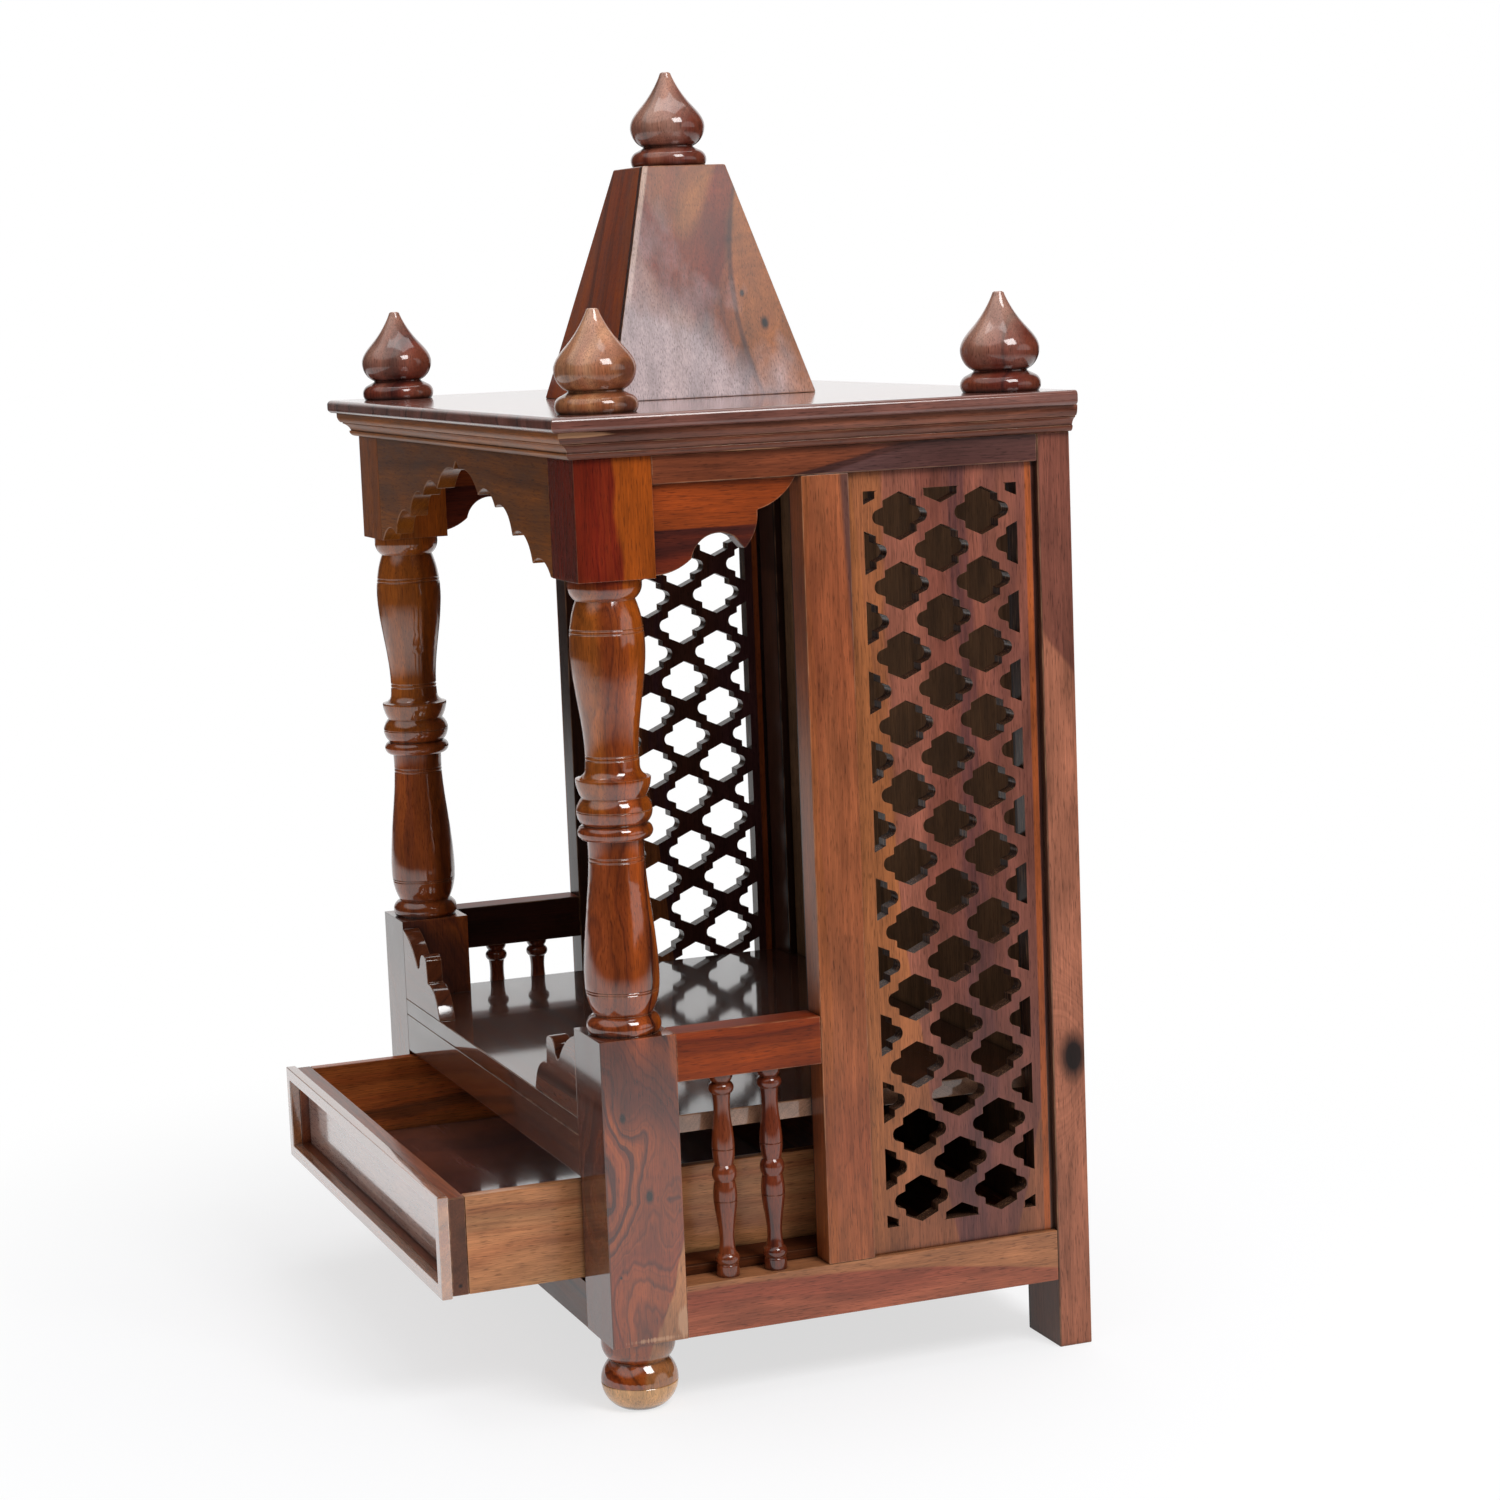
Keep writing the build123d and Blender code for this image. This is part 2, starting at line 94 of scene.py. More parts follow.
def add_node(tree: bpy.types.NodeTree, kind: str, inputs: dict | None = None, **settings) -> bpy.types.Node:
    """Add a node to a tree, with its settings and its inputs.

    Args:
        tree: The node tree that gets the node.
        kind: The node's Blender type.
        inputs: Values or output sockets, by the name or number of the input socket.
        **settings: The node's own properties.

    Returns:
        The new node.
    """
    node = tree.nodes.new(kind)
    for name, value in settings.items():
        setattr(node, name, value)
    for socket, value in (inputs or {}).items():
        if isinstance(value, bpy.types.NodeSocket):
            tree.links.new(value, node.inputs[socket])
        else:
            node.inputs[socket].default_value = value
    return node


class Grain(Enum):
    """The axis that a board's fibres follow, as the turn that brings it onto the pattern's Z."""

    UPRIGHT = (0.0, 0.0, 0.0)
    FRONT_TO_BACK = (math.pi / 2, 0.0, 0.0)
    SIDE_TO_SIDE = (0.0, -math.pi / 2, 0.0)


@dataclass(frozen=True)
class Coats:
    """Planed wood, its roughness and shine, and the clear coats on it: their weight, roughness and index.

    The index is 1.5 for clear polish, and higher where the object mirrors more than that. The film is a pale
    haze on the coats that shows at a glancing look.
    """

    wood_roughness: float
    wood_shine: float
    weight: float
    roughness: float
    index: float = 1.5
    film: float = 0.0


class Polish(Enum):
    """How well a piece was rubbed down and polished, from a mirror down to bare wood."""

    MIRROR = Coats(0.14, 1.0, 1.0, 0.07, 2.5, 0.55)
    DEEP = Coats(0.5, 0.1, 1.0, 0.07, 1.8, 0.05)
    BRIGHT = Coats(0.5, 0.1, 1.0, 0.09, 1.6)
    SATIN = Coats(0.55, 0.1, 0.6, 0.18)
    RUBBED = Coats(0.6, 0.1, 0.4, 0.28)
    BARE = Coats(0.8, 0.1, 0.0, 0.3)


@dataclass(frozen=True)
class Layer:
    """Noise drawn out along the grain: a patch's width and length in millimetres, and its finer detail."""

    across: float
    along: float
    detail: float
    output: str = "Fac"


@dataclass(frozen=True)
class Zone:
    """A zone of one tone, such as sapwood, a dark vein, painted shade or painted sheen, between two wavy
    boundaries.

    A place is in the zone where it lies from start to end to that side of the piece's middle, in
    millimetres. Flat boundaries bend, as a flat-cut board shows them, by the square of how far a place lies
    across from their centre. A straight zone doesn't wander with the grain, and one with a span keeps to that
    stretch of the grain.
    """

    side: Triple
    start: float
    end: float = 1000.0
    tone: str = "#9A5224"
    blur: float = 1.5
    strength: float = 0.8
    bend: float = 0.0
    across: Triple = (0.0, 1.0, 0.0)
    centre: float = 0.0
    straight: bool = False
    span: tuple[float, float] | None = None


@dataclass(frozen=True)
class Knot:
    """A knot: where it lies from the piece's middle, its dark core's radius and how far it swells the grain."""

    place: Triple
    size: float
    swell: float


@dataclass(frozen=True)
class Crotch:
    """Crotch figure, where a branch left the trunk: its height from the piece's middle and its reach.

    The rings bend out to one side above and below it, by the slope.
    """

    height: float
    reach: float
    slope: float


@dataclass(frozen=True)
class Scuff:
    """A ragged patch where the polish is chipped off: its place from the piece's middle and its reach."""

    place: Triple
    reach: Triple


@dataclass(frozen=True)
class PaintedSheen:
    """Painted sheen: the light that hazy polish reflects, in clouds, the more so to one side of the piece's middle.
    """

    strength: float
    side: Triple
    reach: float
    tone: str = "#B3A3A6"


@dataclass(frozen=True)
class Sheesham:
    """Indian rosewood, planed and sanded, under several coats of clear polish.

    Its heartwood is red-brown with purple-brown streaks, and its sapwood is orange tan. The streaks follow
    growth rings, so they run along the grain and swell into flames where a board was cut flat. All sizes are in
    millimetres.
    """

    LAYERS: ClassVar[dict[str, Layer]] = {
        "drift": Layer(60.0, 240.0, 2.0, "Color"),
        "swirl": Layer(13.0, 50.0, 2.0, "Color"),
        "cloud": Layer(30.0, 55.0, 7.0),
        "fibre": Layer(0.7, 24.0, 2.0),
        "pore": Layer(0.6, 7.0, 1.0),
        "mottle": Layer(14.0, 50.0, 5.0),
        "rubbed": Layer(4.0, 18.0, 3.0),
    }
    SEED_STEP: ClassVar[Triple] = (13.7, 7.1, 3.3)
    RING_SEED_STEP: ClassVar[float] = 17.3
    MOTTLE: ClassVar[tuple[float, float]] = (0.72, 1.26)
    SMUDGE: ClassVar[float] = 0.08
    # How far the painted shade in corners reaches, in millimetres.
    CORNER_SHADE_REACH: ClassVar[float] = 4.0
    PORE_SHADE: ClassVar[float] = 0.45
    PORE_DEPTH: ClassVar[float] = 0.15
    SPAN_BLUR: ClassVar[float] = 3.0
    STREAK_EDGE: ClassVar[float] = 0.08
    ZONE_RINGS: ClassVar[float] = 1.9
    SEASON: ClassVar[float] = 1.9
    KNOT_SQUASH: ClassVar[Triple] = (1.0, 1.0, 0.6)
    KNOT_PUSH: ClassVar[float] = 0.8
    KNOT_TONE: ClassVar[str] = "#1E0F0C"
    FILM_TONE: ClassVar[str] = "#F2ECF2"

    name: str
    grain: Grain
    heart: str = "#8A3E1C"
    light: str = "#A8591F"
    streak: str = "#40160F"
    polish: Polish = Polish.SATIN
    seed: float = 0.0
    streak_share: float = 0.38
    ring: float = 11.0
    pith: tuple[float, float] = (70.0, 45.0)
    wander: float = 22.0
    swirl: float = 3.0
    zones: tuple[Zone, ...] = ()
    knots: tuple[Knot, ...] = ()
    scuffs: tuple[Scuff, ...] = ()
    crotch: Crotch | None = None
    painted_sheen: PaintedSheen | None = None
    # The pale tone of rubbed arrises and chips, which also paints a highlight on the arrises, and its strength
    # there.
    worn_and_lit: str = "#B98A66"
    wear_and_highlight: float = 0.4
    shader_arris: float = 0.0
    sawn: str | None = None

    def material(self, middle: Vector) -> bpy.types.Material:
        """Build the finish as a node material on Object coordinates, in millimetres from a piece's middle.

        Args:
            middle: The middle of the piece, in metres.

        Returns:
            The material.
        """
        material = bpy.data.materials.new(f"{self.name}_{self.polish.name.lower()}")
        material.use_nodes = True
        tree = material.node_tree
        tree.nodes.clear()
        turn = Euler(self.grain.value).to_matrix()
        mapped = add_node(tree, "ShaderNodeMapping", {
            "Vector": add_node(tree, "ShaderNodeTexCoord").outputs["Object"],
            "Rotation": self.grain.value,
            "Scale": (1 / MM,) * 3,
            "Location": -(turn @ middle) / MM,
        }).outputs[0]
        noise = {}
        for name, layer in self.LAYERS.items():
            step = [self.seed * share for share in self.SEED_STEP]
            scaled = add_node(tree, "ShaderNodeVectorMath", {
                0: mapped, 1: (1 / layer.across, 1 / layer.across, 1 / layer.along),
                2: (step[0], step[1], step[2] + layer.across)}, operation="MULTIPLY_ADD").outputs[0]
            noise[name] = add_node(tree, "ShaderNodeTexNoise", {
                "Vector": scaled, "Scale": 1.0, "Detail": layer.detail}).outputs[layer.output]
        colour = self.figure(tree, mapped, turn, noise)

        if self.painted_sheen:
            # Painted sheen: the light that hazy polish reflects, painted over the wood's colour in cloudy patches.
            reach = add_node(tree, "ShaderNodeVectorMath", {
                0: mapped, 1: turn @ Vector(self.painted_sheen.side)}, operation="DOT_PRODUCT").outputs["Value"]
            reach = add_node(tree, "ShaderNodeMath", {0: reach, 1: self.painted_sheen.reach * 4}, operation="DIVIDE")
            cloud = add_node(tree, "ShaderNodeMath", {
                0: noise["cloud"], 1: reach.outputs[0]}, operation="ADD").outputs[0]
            cloud = add_node(tree, "ShaderNodeMapRange", {
                "Value": cloud, "From Min": 0.46, "From Max": 0.86, "To Max": self.painted_sheen.strength}).outputs[0]
            colour = add_node(tree, "ShaderNodeMix", {
                0: cloud, 6: colour, 7: linear(self.painted_sheen.tone)}, data_type="RGBA").outputs[2]

        # Fibres, pores and mottling: at arm's length a soft brushed grain with short dark flecks in it. Real
        # pores are about 0.2 mm wide and fibres finer still, so both are drawn coarser, as they need to show.
        layers = {}
        for name, low, high, start, end in (
            ("fibre", 0.3, 0.7, 0.82, 1.18),
            ("pore", 0.58, 0.7, 0.0, 1.0),
            ("mottle", 0.3, 0.7, *self.MOTTLE),
        ):
            layers[name] = add_node(tree, "ShaderNodeMapRange", {
                "Value": noise[name], "From Min": low, "From Max": high, "To Min": start, "To Max": end,
            }).outputs[0]
        gain = add_node(tree, "ShaderNodeMath", {
            0: layers["fibre"], 1: layers["mottle"]}, operation="MULTIPLY").outputs[0]
        dark = add_node(tree, "ShaderNodeMath", {
            0: layers["pore"], 1: -self.PORE_SHADE, 2: 1.0}, operation="MULTIPLY_ADD")
        gain = add_node(tree, "ShaderNodeMath", {0: gain, 1: dark.outputs[0]}, operation="MULTIPLY").outputs[0]
        colour = add_node(tree, "ShaderNodeVectorMath", {0: colour, "Scale": gain}, operation="SCALE").outputs[0]

        # Corners and joints: painted shade where nearby surfaces hide the light, so they read as fine dark lines.
        painted_corner_shade = add_node(tree, "ShaderNodeAmbientOcclusion", {
            "Distance": self.CORNER_SHADE_REACH * MM}, samples=6).outputs["AO"]
        painted_corner_shade = add_node(tree, "ShaderNodeMapRange", {
            "Value": painted_corner_shade, "From Min": 0.35, "From Max": 0.85, "To Min": 0.3}).outputs[0]
        colour = add_node(tree, "ShaderNodeVectorMath", {
            0: colour, "Scale": painted_corner_shade}, operation="SCALE").outputs[0]

        # Handled edges: the polish is rubbed through in places and the pale wood under it shows.
        # The same pale tone paints a highlight along the rounded arrises.
        rounded = None
        if self.shader_arris:
            rounded = add_node(tree, "ShaderNodeBevel", {"Radius": self.shader_arris * MM}, samples=6).outputs[0]
            flat = add_node(tree, "ShaderNodeNewGeometry").outputs["Normal"]
            arris = add_node(tree, "ShaderNodeVectorMath", {0: rounded, 1: flat}, operation="DOT_PRODUCT")
            arris = add_node(tree, "ShaderNodeMapRange", {
                "Value": arris.outputs["Value"], "From Min": 0.995, "From Max": 0.9}).outputs[0]
        else:
            arris = add_node(tree, "ShaderNodeAttribute", attribute_name=ARRIS_FACES).outputs["Fac"]
        rubbed = add_node(tree, "ShaderNodeMapRange", {
            "Value": noise["rubbed"], "From Min": 0.42, "From Max": 0.68, "To Min": 0.05,
            "To Max": self.wear_and_highlight}).outputs[0]
        worn_and_lit = add_node(tree, "ShaderNodeMath", {0: arris, 1: rubbed}, operation="MULTIPLY").outputs[0]
        # Knocks: the polish is chipped off in ragged patches, as pale as the rubbed edges.
        for scuff in self.scuffs:
            near = add_node(tree, "ShaderNodeVectorMath", {
                0: mapped, 1: turn @ Vector(scuff.place)}, operation="SUBTRACT").outputs[0]
            near = add_node(tree, "ShaderNodeVectorMath", {
                0: near, 1: [abs(reach) for reach in turn @ Vector(scuff.reach)]}, operation="DIVIDE").outputs[0]
            near = add_node(tree, "ShaderNodeVectorMath", {0: near}, operation="LENGTH").outputs["Value"]
            near = add_node(tree, "ShaderNodeMath", {0: near, 1: layers["fibre"]}, operation="SUBTRACT").outputs[0]
            chip = add_node(tree, "ShaderNodeMapRange", {
                "Value": near, "From Min": 0.1, "From Max": -0.2, "To Max": 0.75}).outputs[0]
            worn_and_lit = add_node(tree, "ShaderNodeMath", {0: worn_and_lit, 1: chip}, operation="MAXIMUM").outputs[0]
        colour = add_node(tree, "ShaderNodeMix", {
            0: worn_and_lit, 6: colour, 7: linear(self.worn_and_lit)}, data_type="RGBA").outputs[2]

        if self.sawn:
            # Hole walls are darker than the faces, with a painted glint here and there.
            facing = add_node(tree, "ShaderNodeVectorMath", {
                0: add_node(tree, "ShaderNodeTexCoord").outputs["Normal"], 1: (1.0, 0.0, 0.0),
            }, operation="DOT_PRODUCT").outputs["Value"]
            facing = add_node(tree, "ShaderNodeMath", {0: facing}, operation="ABSOLUTE").outputs[0]
            wall = add_node(tree, "ShaderNodeMapRange", {
                "Value": facing, "From Min": 0.8, "From Max": 0.5}).outputs[0]
            painted_glint = add_node(tree, "ShaderNodeMapRange", {
                "Value": layers["fibre"], "From Min": 1.08, "From Max": 1.16, "To Max": 0.6}).outputs[0]
            cut = add_node(tree, "ShaderNodeMix", {
                0: painted_glint, 6: linear(self.sawn), 7: linear(self.worn_and_lit)}, data_type="RGBA").outputs[2]
            colour = add_node(tree, "ShaderNodeMix", {0: wall, 6: colour, 7: cut}, data_type="RGBA").outputs[2]

        # Coats of polish over the wood: a clean highlight on top and a soft, smudged glow from under it.
        coats = self.polish.value
        smudge = add_node(tree, "ShaderNodeMapRange", {
            "Value": layers["mottle"], "From Min": self.MOTTLE[0], "From Max": self.MOTTLE[1],
            "To Min": coats.wood_roughness - self.SMUDGE, "To Max": coats.wood_roughness + self.SMUDGE})
        bump = add_node(tree, "ShaderNodeMath", {
            0: layers["pore"], 1: -0.6, 2: layers["fibre"]}, operation="MULTIPLY_ADD").outputs[0]
        bump = add_node(tree, "ShaderNodeBump", {
            "Height": bump, "Strength": 0.3, "Distance": self.PORE_DEPTH * MM})
        if rounded:
            tree.links.new(rounded, bump.inputs["Normal"])
        shader = add_node(tree, "ShaderNodeBsdfPrincipled", {
            "Base Color": colour, "Roughness": smudge.outputs[0], "Specular IOR Level": coats.wood_shine,
            "Normal": bump.outputs[0], "Coat Weight": coats.weight, "Coat Roughness": coats.roughness,
            "Coat IOR": coats.index, "Sheen Weight": coats.film, "Sheen Roughness": 0.3,
            "Sheen Tint": linear(self.FILM_TONE)})
        add_node(tree, "ShaderNodeOutputMaterial", {0: shader.outputs[0]})
        return material

    def figure(self, tree: bpy.types.NodeTree, mapped: bpy.types.NodeSocket, turn: Matrix,
               noise: dict[str, bpy.types.NodeSocket]) -> bpy.types.NodeSocket:
        """Add the ring figure, the knots and the zones: sapwood, veins, painted shade and painted sheen.

        Args:
            tree: The node tree.
            mapped: The place in millimetres, with the grain along Z.
            turn: The turn that brings the grain onto Z.
            noise: The noise layers, by name.

        Returns:
            The colour.
        """
        # Growth rings round the pith, wandering as the tree leaned: long streaks that never run quite straight.
        place = mapped
        for name, reach in (("drift", self.wander), ("swirl", self.swirl)):
            place = add_node(tree, "ShaderNodeVectorMath", {
                0: noise[name], 1: (reach, reach, 0.0), 2: place}, operation="MULTIPLY_ADD").outputs[0]
        shift = (self.wander + self.swirl) / 2
        place = add_node(tree, "ShaderNodeVectorMath", {
            0: place, 1: (shift, shift, 0.0)}, operation="SUBTRACT").outputs[0]
        bent = place
        if self.crotch:
            # Crotch figure: the rings bend out to one side, so the streaks fan out above and below.
            away = add_node(tree, "ShaderNodeSeparateXYZ", {0: mapped}).outputs[2]
            for value, operation in (
                (self.crotch.height, "SUBTRACT"), (0.0, "ABSOLUTE"), (self.crotch.reach, "MINIMUM"),
                (self.crotch.slope, "MULTIPLY"),
            ):
                away = add_node(tree, "ShaderNodeMath", {0: away, 1: value}, operation=operation).outputs[0]
            bent = add_node(tree, "ShaderNodeVectorMath", {
                0: place, 1: add_node(tree, "ShaderNodeCombineXYZ", {1: away}).outputs[0]}).outputs[0]
        flat = add_node(tree, "ShaderNodeVectorMath", {
            0: bent, 1: (1.0, 1.0, 0.0)}, operation="MULTIPLY").outputs[0]
        radius = add_node(tree, "ShaderNodeVectorMath", {
            0: flat, 1: (*self.pith, 0.0)}, operation="DISTANCE").outputs["Value"]
        # Knots: the rings swell round a small dark core, longer along the grain than across it.
        core = None
        for knot in self.knots:
            near = add_node(tree, "ShaderNodeVectorMath", {
                0: mapped, 1: turn @ Vector(knot.place)}, operation="SUBTRACT").outputs[0]
            near = add_node(tree, "ShaderNodeVectorMath", {0: near, 1: self.KNOT_SQUASH}, operation="MULTIPLY")
            near = add_node(tree, "ShaderNodeVectorMath", {0: near.outputs[0]}, operation="LENGTH").outputs["Value"]
            push = add_node(tree, "ShaderNodeMapRange", {
                "Value": near, "From Min": knot.swell, "From Max": 0.0, "To Max": knot.swell * self.KNOT_PUSH,
            }, interpolation_type="SMOOTHSTEP").outputs[0]
            radius = add_node(tree, "ShaderNodeMath", {0: radius, 1: push}, operation="ADD").outputs[0]
            dark = add_node(tree, "ShaderNodeMapRange", {
                "Value": near, "From Min": knot.size * 1.5, "From Max": knot.size * 0.6}).outputs[0]
            core = dark if core is None else add_node(
                tree, "ShaderNodeMath", {0: core, 1: dark}, operation="MAXIMUM").outputs[0]

        # Bands of rings: broad lighter zones, dark streaks, and a fine line for each season's growth.
        bands = {}
        for name, spacing, detail, start, end in (
            ("streak", self.ring, 3.0, self.streak_share + self.STREAK_EDGE, self.streak_share - self.STREAK_EDGE),
            ("zone", self.ring * self.ZONE_RINGS, 2.0, 0.38, 0.64),
            ("line", self.SEASON, 2.0, 0.3, 0.7),
        ):
            count = add_node(tree, "ShaderNodeMath", {0: radius, 1: spacing}, operation="DIVIDE").outputs[0]
            count = add_node(tree, "ShaderNodeMath", {
                0: count, 1: self.seed * self.RING_SEED_STEP + spacing}, operation="ADD").outputs[0]
            band = add_node(tree, "ShaderNodeTexNoise", {
                "W": count, "Scale": 1.0, "Detail": detail, "Roughness": 0.6}, noise_dimensions="1D").outputs[0]
            bands[name] = add_node(tree, "ShaderNodeMapRange", {
                "Value": band, "From Min": start, "From Max": end}).outputs[0]
        colour = add_node(tree, "ShaderNodeMix", {
            0: bands["zone"], 6: linear(self.heart), 7: linear(self.light)}, data_type="RGBA").outputs[2]
        colour = add_node(tree, "ShaderNodeMix", {
            0: bands["streak"], 6: colour, 7: linear(self.streak)}, data_type="RGBA").outputs[2]
        for zone in self.zones:
            colour = self.with_zone(tree, mapped if zone.straight else place, turn, colour, zone)
        if core:
            colour = add_node(tree, "ShaderNodeMix", {
                0: core, 6: colour, 7: linear(self.KNOT_TONE)}, data_type="RGBA").outputs[2]
        line = add_node(tree, "ShaderNodeMapRange", {"Value": bands["line"], "To Min": 0.88, "To Max": 1.1})
        return add_node(tree, "ShaderNodeVectorMath", {
            0: colour, "Scale": line.outputs[0]}, operation="SCALE").outputs[0]

    def with_zone(self, tree: bpy.types.NodeTree, place: bpy.types.NodeSocket, turn: Matrix,
                  colour: bpy.types.NodeSocket, zone: Zone) -> bpy.types.NodeSocket:
        """Mix a zone of another tone into the colour.

        Args:
            tree: The node tree.
            place: The place in millimetres, with the grain along Z.
            turn: The turn that brings the grain onto Z.
            colour: The colour so far.
            zone: The zone.

        Returns:
            The colour with the zone.
        """
        depth = add_node(tree, "ShaderNodeVectorMath", {
            0: place, 1: turn @ Vector(zone.side)}, operation="DOT_PRODUCT").outputs["Value"]
        if zone.bend:
            off = add_node(tree, "ShaderNodeVectorMath", {
                0: place, 1: turn @ Vector(zone.across)}, operation="DOT_PRODUCT").outputs["Value"]
            off = add_node(tree, "ShaderNodeMath", {0: off, 1: zone.centre}, operation="SUBTRACT").outputs[0]
            off = add_node(tree, "ShaderNodeMath", {0: off, 1: off}, operation="MULTIPLY").outputs[0]
            depth = add_node(tree, "ShaderNodeMath", {
                0: off, 1: zone.bend, 2: depth}, operation="MULTIPLY_ADD").outputs[0]
        inside = add_node(tree, "ShaderNodeMapRange", {
            "Value": depth, "From Min": zone.start - zone.blur, "From Max": zone.start + zone.blur,
            "To Max": zone.strength}, interpolation_type="SMOOTHSTEP").outputs[0]
        before = add_node(tree, "ShaderNodeMapRange", {
            "Value": depth, "From Min": zone.end + zone.blur, "From Max": zone.end - zone.blur,
        }, interpolation_type="SMOOTHSTEP").outputs[0]
        inside = add_node(tree, "ShaderNodeMath", {0: inside, 1: before}, operation="MULTIPLY").outputs[0]
        if zone.span:
            along = add_node(tree, "ShaderNodeSeparateXYZ", {0: place}).outputs[2]
            for limit, way in zip(zone.span, (1, -1)):
                soft = self.SPAN_BLUR * way
                kept = add_node(tree, "ShaderNodeMapRange", {
                    "Value": along, "From Min": limit - soft, "From Max": limit + soft}).outputs[0]
                inside = add_node(tree, "ShaderNodeMath", {0: inside, 1: kept}, operation="MULTIPLY").outputs[0]
        return add_node(tree, "ShaderNodeMix", {
            0: inside, 6: colour, 7: linear(zone.tone)}, data_type="RGBA").outputs[2]


def middle_of(node: str) -> Vector:
    """Return the middle of a CAD node's box, in metres."""
    low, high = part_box(node)
    return (low + high) / 2


def only(piece: bpy.types.Object) -> None:
    """Select one object and make it active.

    Args:
        piece: The object.
    """
    bpy.ops.object.select_all(action="DESELECT")
    piece.select_set(True)
    bpy.context.view_layer.objects.active = piece


def painted_inner_shade(sign: int, start: float, tone: str = "#1C0D08") -> Zone:
    """Return the painted shade on a face that looks into the case, start millimetres from the piece's middle."""
    return Zone((-sign, 0.0, 0.0), start, tone=tone, blur=0.3, strength=0.9, straight=True)


def end_grain(start: float, tone: str, blur: float) -> tuple[Zone, ...]:
    """Return the zones at both ends of a board that runs from side to side."""
    return tuple(Zone((sign, 0.0, 0.0), start, tone=tone, blur=blur, straight=True) for sign in (1.0, -1.0))


@dataclass
class Joinery:
    """What every sub-assembly shares: the body that it rides on and the ways that its pieces are made.

    Sizes are in millimetres and angles in degrees. The cut is a line scored on the lathe.
    """

    body: str = "case"
    arris: float = 0.7
    arris_steps: int = 2
    arris_angle: float = 38.0
    smooth_angle: float = 40.0
    flat_angle: float = 0.5
    cut_depth: float = 0.45
    cut_width: float = 0.9

    def keep(self, node: str, finish: Sheesham) -> None:
        """Give a carried-over CAD node a finish.

        Args:
            node: The node's name.
            finish: What it is made of.
        """
        piece = frame["nodes"][node]
        piece.data.materials.clear()
        piece.data.materials.append(finish.material(middle_of(node)))
        LOG.info("%s keeps its shape, in %s", node, finish.name)

    def board(self, node: str, finish: Sheesham) -> None:
        """Plane up a plain board in a CAD node's place, with its arrises taken off.

        Args:
            node: The node that it replaces.
            finish: What it is made of.
        """
        low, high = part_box(node)
        bpy.ops.object.select_all(action="DESELECT")
        bpy.ops.mesh.primitive_cube_add(size=1, location=(low + high) / 2, scale=high - low)
        piece = bpy.context.object
        bpy.ops.object.transform_apply(location=True, rotation=True, scale=True)
        self.dress(piece, node, finish, self.arris)

    def cut_board(self, node: str, finish: Sheesham, arris: float | None = None) -> None:
        """Take a CAD node's cut shape, join its faces and take its arrises off.

        Args:
            node: The node that it replaces.
            finish: What it is made of.
            arris: How far the arrises are rounded, where not as elsewhere.
        """
        piece = self.blank(node)
        bpy.ops.object.mode_set(mode="EDIT")
        bpy.ops.mesh.select_all(action="SELECT")
        bpy.ops.mesh.dissolve_limited(angle_limit=math.radians(self.flat_angle))
        bpy.ops.object.mode_set(mode="OBJECT")
        self.dress(piece, node, finish, arris or self.arris)

    def turning(self, node: str, finish: Sheesham, axes: list[tuple[float, float]], heights: tuple[float, ...],
                arris: float | None = None) -> None:
        """Take a turned CAD node and score fine lines round it, as with the corner of a chisel on the lathe.

        Args:
            node: The node that it replaces.
            finish: What it is made of.
            axes: The places of its turned parts, X and Y in metres.
            heights: The lines' heights, in millimetres.
            arris: How far its square parts' arrises are rounded, where not as elsewhere.
        """
        piece = self.blank(node)
        bpy.ops.object.mode_set(mode="EDIT")
        for height in heights:
            for offset in (-self.cut_width / 2, self.cut_width / 2, 0):
                level = (height + offset) * MM
                bpy.ops.mesh.select_all(action="SELECT")
                bpy.ops.mesh.bisect(plane_co=(0, 0, level), plane_no=(0, 0, 1))
            for x, y in axes:
                mesh = bmesh.from_edit_mesh(piece.data)
                radius = 0.0
                for vertex in mesh.verts:
                    reach = math.hypot(vertex.co.x - x, vertex.co.y - y)
                    nearest = min(math.hypot(vertex.co.x - px, vertex.co.y - py) for px, py in axes)
                    vertex.select = abs(vertex.co.z - height * MM) < SAME_LEVEL and reach == nearest
                    radius = max(radius, reach) if vertex.select else radius
                mesh.select_flush_mode()
                bmesh.update_edit_mesh(piece.data)
                share = 1 - self.cut_depth * MM / max(radius, MM)
                bpy.ops.transform.resize(value=(share, share, 1), center_override=(x, y, height * MM))
        bpy.ops.object.mode_set(mode="OBJECT")
        self.dress(piece, node, finish, arris or self.arris)

    def blank(self, node: str) -> bpy.types.Object:
        """Copy a CAD node as a joined mesh of its own.

        Args:
            node: The node's name.

        Returns:
            The copy, active and in object mode.
        """
        only(frame["nodes"][node])
        bpy.ops.object.duplicate()
        piece = bpy.context.object
        del piece["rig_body"], piece["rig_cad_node"]
        bpy.ops.object.parent_clear(type="CLEAR_KEEP_TRANSFORM")
        bpy.ops.object.mode_set(mode="EDIT")
        bpy.ops.mesh.select_all(action="SELECT")
        bpy.ops.mesh.customdata_custom_splitnormals_clear()
        bpy.ops.mesh.remove_doubles(threshold=WELD)
        bpy.ops.object.mode_set(mode="OBJECT")
        return piece

